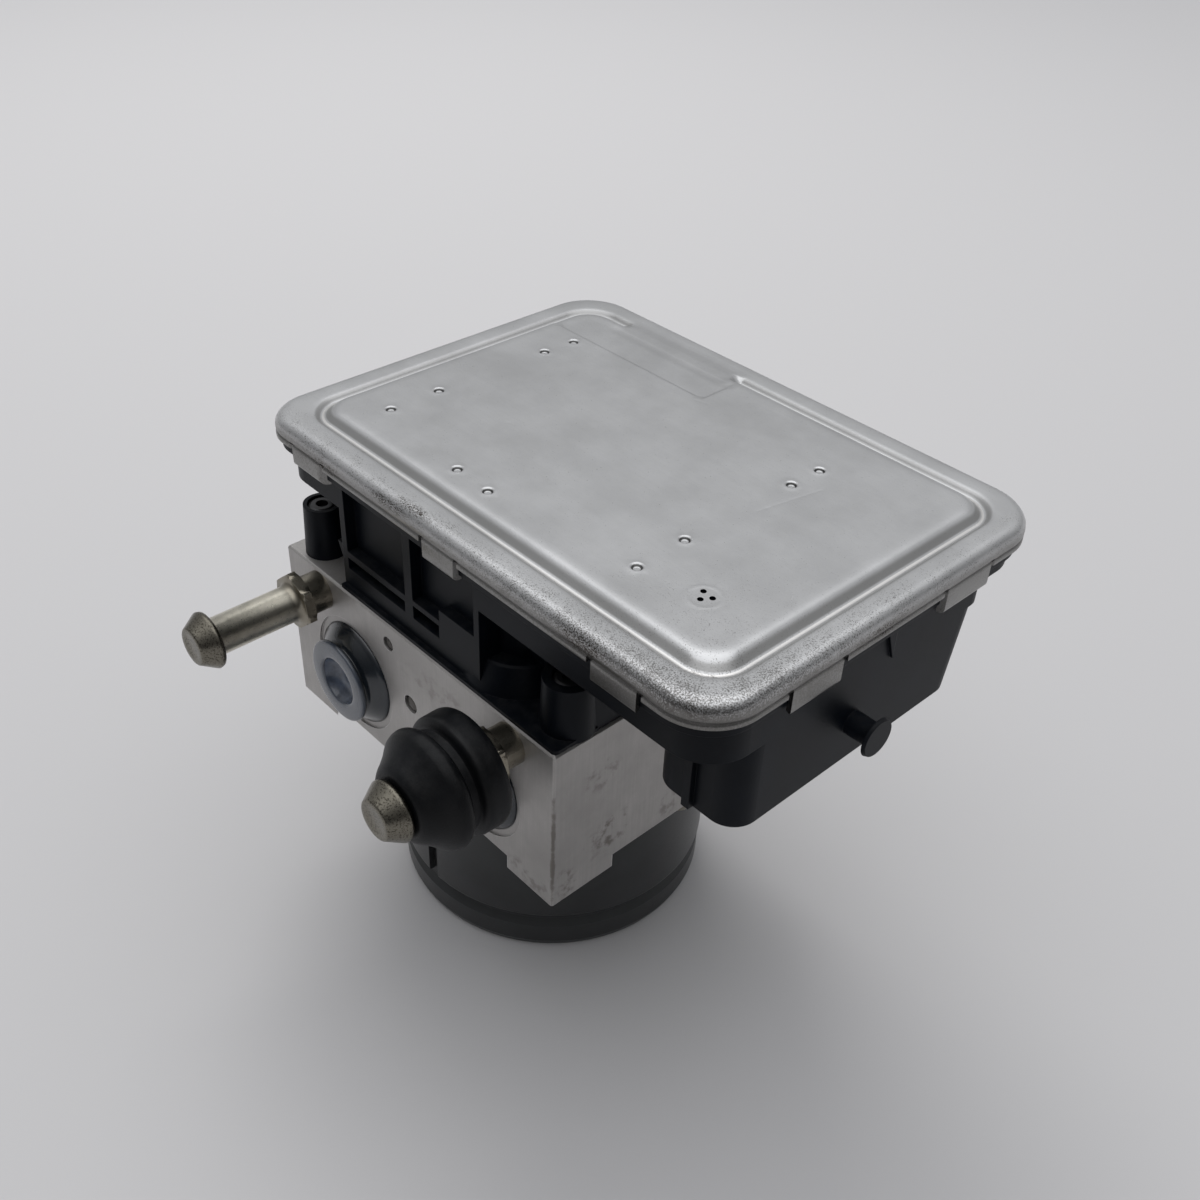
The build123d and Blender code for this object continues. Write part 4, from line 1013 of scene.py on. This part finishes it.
    def at(self, station: Station, inward: float) -> Point2:
        """Gives a point of the outline moved inwards.

        Args:
            station: the column it lies on.
            inward: the inward distance.

        Returns:
            The point's X and Y.
        """
        right = inward - self.right_pull * min(1.0, inward / self.pull_reach)
        x0, x1, y0, y1 = self.x0 + inward, self.x1 - right, self.y0 + inward, self.y1 - inward
        r = [self.corner_radius(inward, first) for first in self.radii]
        number, place = station.side.value, station.place
        if station.corner:
            cx = (x0 + r[0], x1 - r[1], x1 - r[2], x0 + r[3])[number]
            cy = (y0 + r[0], y0 + r[1], y1 - r[2], y1 - r[3])[number]
            angle = math.radians((180, 270, 0, 90)[number] + 90 * place)
            return cx + r[number] * math.cos(angle), cy + r[number] * math.sin(angle)
        return ((x0 + r[0] + (x1 - r[1] - x0 - r[0]) * place, y0),
                (x1, y0 + r[1] + (y1 - r[2] - y0 - r[1]) * place),
                (x1 - r[2] + (x0 + r[3] - x1 + r[2]) * place, y1),
                (x0, y1 - r[3] + (y0 + r[0] - y1 + r[3]) * place))[number]

    def hem(self, station: Station) -> list[Point2]:
        """Gives a column's lower end, from the inner wall round the edge to the skirt's face.

        Args:
            station: the column.

        Returns:
            (inward, height) points, always nine.
        """
        wall, top = self.sheet, self.skirt_inside
        if station.hem is Hem.TAB:
            low = self.tab_low_long if station.side in (Side.FRONT, Side.REAR) else self.tab_low_short
            return [(wall, top), (wall, self.tab_ledge), (1.85, self.tab_ledge), (1.9, low + 0.1), (1.1, low),
                    (0.55, low + 0.14), (0.16, low + 0.5), (0.02, low + 1.0), (0.0, 125.2)]
        low = self.slit_top if station.hem is Hem.SLIT else self.skirt_bottom
        return [(wall, top), (wall, low + 0.2), (wall - 0.05, low + 0.1), (wall - 0.15, low + 0.02),
                (wall - 0.3, low), (0.4, low), (0.2, low), (0.1, low + 0.03), (0.02, low + 0.1)]

    def swell(self, x: float, y: float) -> float:
        """Gives the sheet's slight unevenness at a point."""
        return sum(high * noise.noise(Vector((x * scale, y * scale, seed)))
                   for high, scale, seed in self.waves)

    def sunk(self, x: float, y: float) -> float:
        """Gives how far the lowered rear shelf is on at a point.

        Args:
            x: the point's X.
            y: the point's Y.

        Returns:
            0 off the shelf, 1 on it, and smooth between.
        """
        across = min(1.0, max(0.0, (self.shelf_x - x) / self.shelf_slope + 0.5))
        along = min(1.0, max(0.0, (y - self.shelf_y) / self.shelf_slope + 0.5))
        both = min(across, along)
        return both * both * (3 - 2 * both)

    def rim_height(self, station: Station, inward: float, z: float) -> float:
        """Settles a skirt or rim point: the bead's gap, the shelf's end and the sheet's swell.

        Args:
            station: the point's column.
            inward: its inward distance.
            z: its height in the profile.

        Returns:
            Its height in the sheet.
        """
        if inward <= self.swell_from:
            return z
        x, y = self.at(station, inward)
        rear = station.side is Side.REAR and not station.corner
        if rear and self.bead_gap[0] < x < self.bead_gap[1] and inward > self.gap_from:
            (low, high), (start, width) = self.gap_levels, self.gap_slope
            flat = low + (high - low) * min(1.0, max(0.0, (inward - start) / width))
            z += (flat - z) * min(1.0, min(x - self.bead_gap[0], self.bead_gap[1] - x) / self.gap_end)
        start, width = self.shelf_rim
        if inward > start:
            z -= self.shelf_drop * self.sunk(x, y) * (inward - start) / width
        return z + (self.swell(x, y) - self.rim_settle)

    def panel_height(self, x: float, y: float) -> float:
        """Shapes the panel with its shelf, dimples, creases and vent ridge.

        Args:
            x: the point's X.
            y: the point's Y.

        Returns:
            The sheet's height at the point.
        """
        z = self.panel_top + self.swell(x, y) - self.shelf_drop * self.sunk(x, y) - self.panel_settle
        for a, b in self.dimples:
            reach = math.hypot(x - a, y - b)
            z -= self.dimple_depth * min(1.0, max(0.0, (self.dimple_radius - reach) / self.dimple_wall))
            if self.dimple_radius < reach < self.lip_radius:
                z += self.dimple_lip
        for ax, ay, bx, by in self.creases:
            long = math.hypot(bx - ax, by - ay)
            on = min(long, max(0.0, ((x - ax) * (bx - ax) + (y - ay) * (by - ay)) / long))
            off = math.hypot(x - ax - (bx - ax) * on / long, y - ay - (by - ay) * on / long)
            z -= self.crease_depth * max(0.0, 1 - off / self.crease_half)
        reach = math.hypot(x - self.vent[0], y - self.vent[1])
        return z + self.vent_ridge * max(0.0, 1 - abs(reach - self.ridge_radius) / self.ridge_half)

    def skirt(self, verts: list[Point3], faces: list[Face]) -> list[int]:
        """Adds the hem, skirt, shoulder, rim and bead.

        Args:
            verts: the points so far.
            faces: the faces so far.

        Returns:
            The point numbers of the innermost ring.
        """
        columns = self.stations()
        for station in columns:
            top = list(self.top_profile)
            if station.hem is Hem.SLIT:
                top = [(inward, max(z, self.slit_top + self.slit_rise)) for inward, z in top]
            verts += [(*self.at(station, inward), self.rim_height(station, inward, z))
                      for inward, z in self.hem(station) + top]
        total = len(columns)
        rings = len(verts) // total
        for column in range(total):
            here, there = column * rings, (column + 1) % total * rings
            faces += [(here + ring, there + ring, there + ring + 1, here + ring + 1)
                      for ring in range(rings - 1)]
        return [column * rings + rings - 1 for column in range(total)]

    def holes(self) -> list[Point2]:
        """Gives the middles of the vent's holes."""
        return [(self.vent[0] + a, self.vent[1] + b) for a, b in self.vent_holes]

    def net(self) -> list[Point2]:
        """Lists the panel's points: an even grid, and finer rows at dimples, creases, shelf and vent.

        Returns:
            The points' X and Y.
        """
        x0, x1 = self.x0 + self.inset, self.x1 - self.inset_right
        y0, y1 = self.y0 + self.inset, self.y1 - self.inset
        clear = [(*spot, self.dimple_clear) for spot in self.dimples] + [(*self.vent, self.vent_clear)]
        across, along = int((x1 - x0) / self.pitch), int((y1 - y0) / self.pitch)
        grid = [(x0 + (x1 - x0) * i / across, y0 + (y1 - y0) * j / along)
                for i in range(across + 1) for j in range(along + 1)]
        spots = [(x, y) for x, y in grid if all(math.hypot(x - a, y - b) > reach for a, b, reach in clear)]
        for spot in self.dimples:
            for radius, count in self.dimple_rings:
                spots += circle(spot, radius, count)
        for ax, ay, bx, by in self.creases:
            count = int(math.hypot(bx - ax, by - ay) / self.crease_pitch)
            side = (-(by - ay) / (count * self.crease_pitch), (bx - ax) / (count * self.crease_pitch))
            spots += [(ax + (bx - ax) * k / count + side[0] * off, ay + (by - ay) * k / count + side[1] * off)
                      for k in range(count + 1) for off in self.crease_rows]
        for off in self.shelf_rows:
            spots += [(x0 + k * self.shelf_pitch, self.shelf_y + off)
                      for k in range(int((self.shelf_x - self.shelf_clear - x0) / self.shelf_pitch))]
            spots += [(self.shelf_x + off, self.shelf_y + self.shelf_clear + k * self.shelf_pitch)
                      for k in range(int((y1 - self.shelf_y - self.shelf_clear) / self.shelf_pitch))]
        for hole in self.holes():
            for radius in (self.hole_radius, self.hole_radius + self.hole_collar):
                spots += circle(hole, radius, self.hole_steps)
        for radius, count in self.vent_rings:
            spots += circle(self.vent, radius, count)
        return spots

    def panel(self, verts: list[Point3], faces: list[Face], border: list[int]) -> None:
        """Fills the middle with triangles, open at the vent's holes.

        Args:
            verts: the points so far.
            faces: the faces so far.
            border: the numbers of the ring that the triangles join.
        """
        spots = [verts[number][:2] for number in border] + self.net()
        edges = [(k, (k + 1) % len(border)) for k in range(len(border))]
        net = delaunay_2d_cdt([Vector(spot) for spot in spots], edges, [], 1, self.net_weld)
        made, triangles, origins = net[0], net[2], net[3]
        index = []
        for point, source in zip(made, origins):
            known = [number for number in source if number < len(border)]
            if known:
                index.append(border[known[0]])
            else:
                index.append(len(verts))
                verts.append((point.x, point.y, self.panel_height(point.x, point.y)))
        holes, reach = self.holes(), self.hole_radius * self.hole_open
        for face in triangles:
            middle = sum((made[k] for k in face), Vector((0.0, 0.0))) / len(face)
            if all(math.hypot(middle.x - a, middle.y - b) > reach for a, b in holes):
                faces.append([index[k] for k in face])

    def vent_walls(self) -> None:
        """Lines the vent's holes and closes them just under the sheet, all in dark moulding: painted shade in
        the holes.
        """
        verts: list[Point3] = []
        faces: list[Face] = []
        for hole in self.holes():
            start = len(verts)
            ring = circle(hole, self.hole_radius, self.hole_steps)
            for drop in self.hole_ends:
                verts += [(*spot, self.panel_top - drop) for spot in ring]
            faces += tube(2, self.hole_steps, start)
            faces.append([start + self.hole_steps + k for k in range(self.hole_steps)])
        # Painted shade: the holes' walls and floor wear the dark moulding finish.
        piece_from("cover_vent_hole_shade", verts, faces, HOUSING)

    def build(self) -> None:
        """Makes the lid and lets it stand for the plain one."""
        verts: list[Point3] = []
        faces: list[Face] = []
        border = self.skirt(verts, faces)
        self.panel(verts, faces, border)
        piece = piece_from("cover_lid", verts, faces, STAMPED, 50.0)
        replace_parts(piece, "cover")
        self.vent_walls()


@dataclass
class FrontFittings:
    """The pins, bushing and caps that stand out of the block's front face. Lengths are millimetres."""

    face_y: float = -45.0
    pin_x: float = 36.0
    pin_z: float = 87.4
    cap_x: float = 24.0
    cap_z: float = 68.5
    hexagon: float = 13.0
    hex_turn: float = -19.0
    sides: Sequence[tuple[str, int]] = (("left", -1), ("right", 1))

    def pins(self) -> None:
        """Makes both mounting pins with their rounded hexagons."""
        profile = [
            (-3.0, 0.0), (-3.0, 3.0), (0.0, 3.0), (0.0, 5.0), (5.6, 5.0), (5.6, 6.75, 1), (5.95, 7.5, 1),
            (7.85, 7.5, 1), (8.2, 6.75, 1), (8.2, 5.5), (8.6, 5.0), (9.2, 4.72), (9.9, 4.6), (29.4, 4.6),
            (29.7, 4.8), (29.85, 6.4), (30.1, 6.85), (30.6, 7.05), (31.0, 7.08), (31.35, 6.9),
            (34.55, 4.85), (34.8, 4.7), (34.95, 4.5), (35.0, 4.25), (35.0, 3.0), (34.9, 2.7), (34.9, 0.0)]
        for name, side in self.sides:
            base = (side * self.pin_x, self.face_y, self.pin_z)
            piece = Turning(f"pin_{name}", base, profile, ZINC, "zinc_steel", hexagon=self.hexagon,
                            hex_turn=math.radians(self.hex_turn)).build()
            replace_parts(piece, f"mounting_pin_{name}")

    def bushing(self) -> None:
        """Makes the rubber bushing: flange, groove, second flange and long nose."""
        flange = [(9.9, 4.62), (9.9, 11.8)] + flowing([(9.9, 11.8), (10.1, 12.8), (10.7, 13.5), (11.6, 13.8)])
        flange += [(12.6, 13.8), (14.6, 13.75)]
        flange += flowing([(15.4, 13.75), (16.1, 13.5), (16.6, 12.8), (16.9, 12.0)])
        groove = [(17.2, 11.6), (18.9, 11.6)]
        second = flowing([(19.2, 11.9), (19.6, 12.8), (20.2, 13.45), (21.2, 13.8), (22.3, 13.65)])
        nose = flowing([(23.2, 13.25), (24.0, 12.5), (25.2, 11.3), (26.8, 10.0), (28.2, 9.0), (29.0, 8.2)])
        nose += flowing([(29.15, 7.9), (29.3, 7.6), (29.4, 7.0)]) + [(29.4, 4.62)]
        base = (self.pin_x, self.face_y, self.pin_z)
        profile = flange + groove + second + nose
        piece = Turning("bushing_rubber", base, profile, RUBBER, "bushing_rubber").build()
        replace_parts(piece, "rubber_bushing")

    def caps(self) -> None:
        """Makes the two vent caps, each a stepped ring with a sunk disc."""
        foot = [(-3.9, 13.6), (-0.4, 13.7), (0.2, 13.4), (0.6, 12.8)]
        foot += flowing([(0.6, 12.8), (1.4, 12.0), (2.4, 10.9), (3.0, 10.1), (3.4, 9.75)])
        rim = flowing([(3.5, 9.72), (3.8, 9.8), (4.0, 10.2), (4.15, 10.8), (4.5, 10.95), (4.9, 10.9),
                       (5.25, 10.7), (5.4, 10.2)])
        rim += [(5.4, 8.0)] + flowing([(5.4, 7.2), (5.3, 6.6), (5.0, 6.25), (4.4, 6.1)]) + [(3.2, 5.95)]
        disc = flowing([(4.9, 6.22), (4.4, 6.0), (3.6, 5.5), (2.8, 4.7), (2.2, 3.6), (1.9, 2.2), (1.8, 0.0)])
        first = None
        for name, side in self.sides:
            base = (side * self.cap_x, self.face_y, self.cap_z)
            piece = Turning(f"cap_ring_{name}", base, foot + rim, CAP_BLUE, "cap_plastic").build()
            # Each disc wears the paler, painted-light copy of the cap plastic.
            Turning(f"cap_disc_{name}", base, disc, LIT_CAP_DISC, "cap_plastic", steps=64).build()
            first = first or piece
        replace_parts(first, "accumulator_caps")

    def build(self) -> None:
        """Makes every front fitting."""
        self.pins()
        self.bushing()
        self.caps()


@dataclass
class FluxRing:
    """The rolled steel ring round the motor, open at its seam and turned in at both rims.

    Lengths are millimetres, and the seam's place is an angle in degrees.
    """

    inner: float = 39.66
    outer: float = 41.4
    low: float = 12.4
    high: float = 47.4
    seam_angle: float = 269.5
    seam_wide: float = 3.6
    waviness: float = 0.04
    steps: int = 180

    def section(self) -> list[Point2]:
        """Draws the ring's cut face.

        Returns:
            (radius, height) points in order round the sheet.
        """
        low, high, outer = self.low, self.high, self.outer
        return [(self.inner, low + 0.2), (self.inner + 0.25, low), (outer - 0.75, low),
                (outer - 0.4, low + 0.08), (outer - 0.14, low + 0.3), (outer - 0.03, low + 0.65),
                (outer, low + 1.1), (outer, high - 0.5), (outer - 0.12, high - 0.12), (outer - 0.4, high),
                (self.inner + 0.2, high), (self.inner, high - 0.2)]

    def build(self) -> None:
        """Rolls the ring, a little out of round, from one edge of the seam to the other."""
        section = self.section()
        size = len(section)
        half = math.degrees(self.seam_wide / 2 / self.outer)
        first, sweep = self.seam_angle + half, 360.0 - 2 * half
        verts: list[Point3] = []
        for step in range(self.steps + 1):
            angle = math.radians(first + sweep * step / self.steps)
            wave = self.waviness * noise.noise(Vector((math.cos(angle) * 2, math.sin(angle) * 2, 3.0)))
            for radius, z in section:
                if radius > self.inner + 0.5:
                    radius += wave
                verts.append((radius * math.cos(angle), radius * math.sin(angle), z))
        ends = [list(range(size)), [self.steps * size + k for k in range(size)][::-1]]
        faces = ends + tube(self.steps + 1, size)
        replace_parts(piece_from("flux_ring_band", verts, faces, MOTOR_COAT), "flux_ring")


@dataclass
class Springs:
    """The return springs in the block. Lengths are millimetres."""

    pump_end: float = 41.0
    accumulator_end: float = -41.0
    pump_travel: float = 2.0
    accumulator_travel: float = 5.0

    def spring(self, node: str, axis: Point3) -> None:
        """Copies a spring's coil and lets it stand for the CAD spring.

        Args:
            node: the CAD node that the copy stands for.
            axis: the spring's direction.
        """
        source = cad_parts[node]
        piece = linked(f"{node}_coil", source.data.copy())
        piece.matrix_world = source.matrix_world.copy()
        piece.data.materials.clear()
        piece.data.materials.append(STEEL.material())
        along = [(piece.matrix_world @ v.co).dot(Vector(axis)) / MM for v in piece.data.vertices]
        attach(piece, UNIT)
        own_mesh(piece)
        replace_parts(piece, node)

    def build(self) -> None:
        """Makes the two pump springs and the two accumulator springs."""
        for name, letter, side in (("left", "l", -1), ("right", "r", 1)):
            self.spring(f"pump_spring_{name}", (1.0, 0.0, 0.0))
            self.spring(f"accumulator_spring_{name}", (0.0, 1.0, 0.0))


# ---- studio ----


@dataclass
class Studio:
    """Camera, floor, world and lamp. Places and sizes are metres, lens and sensor are millimetres."""

    eye: Point3 = (0.19842, -0.17835, 0.28325)
    right: Point3 = (0.67860012, 0.73367998, 0.03486494)
    down: Point3 = (0.45929641, -0.38681618, -0.79963745)
    ahead: Point3 = (-0.57319166, 0.55864741, -0.59947009)
    lens: float = 40.07
    sensor: float = 36.0
    clip: Point2 = (0.01, 50.0)
    floor_half: float = 6.0
    floor_colour: Colour = (0.565, 0.56, 0.567)
    floor_rough: float = 0.9
    floor_specular: float = 0.1
    sky_colour: Colour = (0.97, 0.98, 1.0)
    bright_side: Point3 = (-0.62, 0.64, 0.45)
    world_dim: float = 0.05
    world_bright: float = 0.70
    ceiling_glow: float = 0.80
    lamp_place: Point3 = (-0.72, 0.38, 1.1)
    lamp_aim: Point3 = (0.0, 0.0, 0.08)
    lamp_size: float = 0.7
    lamp_watts: float = 6.4
    lamp_colour: Colour = (1.0, 0.99, 0.97)

    def camera(self) -> None:
        """Places the camera and makes it the scene's."""
        data = bpy.data.cameras.new("camera")
        data.lens, data.sensor_width, data.sensor_fit = self.lens, self.sensor, "HORIZONTAL"
        data.clip_start, data.clip_end = self.clip
        eye = linked("camera", data)
        columns = (self.right, tuple(-v for v in self.down), tuple(-v for v in self.ahead))
        turn = Matrix([[c[row] for c in columns] for row in range(3)])
        eye.matrix_world = Matrix.Translation(self.eye) @ turn.to_4x4()
        bpy.context.scene.camera = eye

    def floor(self) -> None:
        """Lays the plain pale floor."""
        mesh = bpy.data.meshes.new("floor")
        span = self.floor_half
        corners = [(-span, -span, 0), (span, -span, 0), (span, span, 0), (-span, span, 0)]
        mesh.from_pydata(corners, [], [(0, 1, 2, 3)])
        piece = linked("floor", mesh)
        made = bpy.data.materials.new("floor_paper")
        made.use_nodes = True
        skin = made.node_tree.nodes["Principled BSDF"]
        for key, value in (("Base Color", (*self.floor_colour, 1.0)), ("Roughness", self.floor_rough),
                           ("Specular IOR Level", self.floor_specular)):
            skin.inputs[key].default_value = value
        mesh.materials.append(made)

    def lamp(self) -> None:
        """Hangs the square key lamp, unseen in reflections."""
        data = bpy.data.lights.new("key", "AREA")
        data.shape, data.size = "SQUARE", self.lamp_size
        data.energy, data.color = self.lamp_watts, self.lamp_colour
        lamp = linked("key", data)
        lamp.location = self.lamp_place
        lamp.visible_glossy = False
        lamp.rotation_mode = "QUATERNION"
        lamp.rotation_quaternion = (Vector(self.lamp_aim) - Vector(self.lamp_place)).to_track_quat("-Z", "Y")

    def world(self) -> None:
        """Fills the surroundings with a soft light, glowing overhead and paler behind the unit."""
        world = bpy.data.worlds.new("studio")
        bpy.context.scene.world = world
        world.use_nodes = True
        wires = Wiring(world.node_tree)
        facing = wires.add("TexCoord").outputs["Generated"]
        upward = wires.axes(facing)[2]
        side = wires.ramp(wires.dot(facing, self.bright_side), -0.75, 0.85)
        level = wires.times(wires.plus(side, wires.ramp(upward, 0.1, 1.0)), 0.5)
        ceiling = wires.times(wires.ramp(upward, 0.68, 0.88), self.ceiling_glow)
        back = world.node_tree.nodes["Background"]
        back.inputs["Color"].default_value = (*self.sky_colour, 1.0)
        wires.feed(back.inputs["Strength"], wires.plus(wires.times(level, self.world_bright - self.world_dim),
                                                       self.world_dim, ceiling))

    def build(self) -> None:
        """Sets up the whole studio."""
        bpy.context.scene.view_settings.view_transform = "Standard"
        self.camera()
        self.floor()
        self.world()
        self.lamp()


def main() -> None:
    """Builds and dresses the unit in order."""
    logging.basicConfig(level=logging.INFO, format="%(name)s: %(message)s")
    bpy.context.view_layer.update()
    Studio().build()
    Dressing().apply()
    Cover().build()
    FrontFittings().build()
    FluxRing().build()
    Springs().build()


if __name__ == "__main__":
    main()
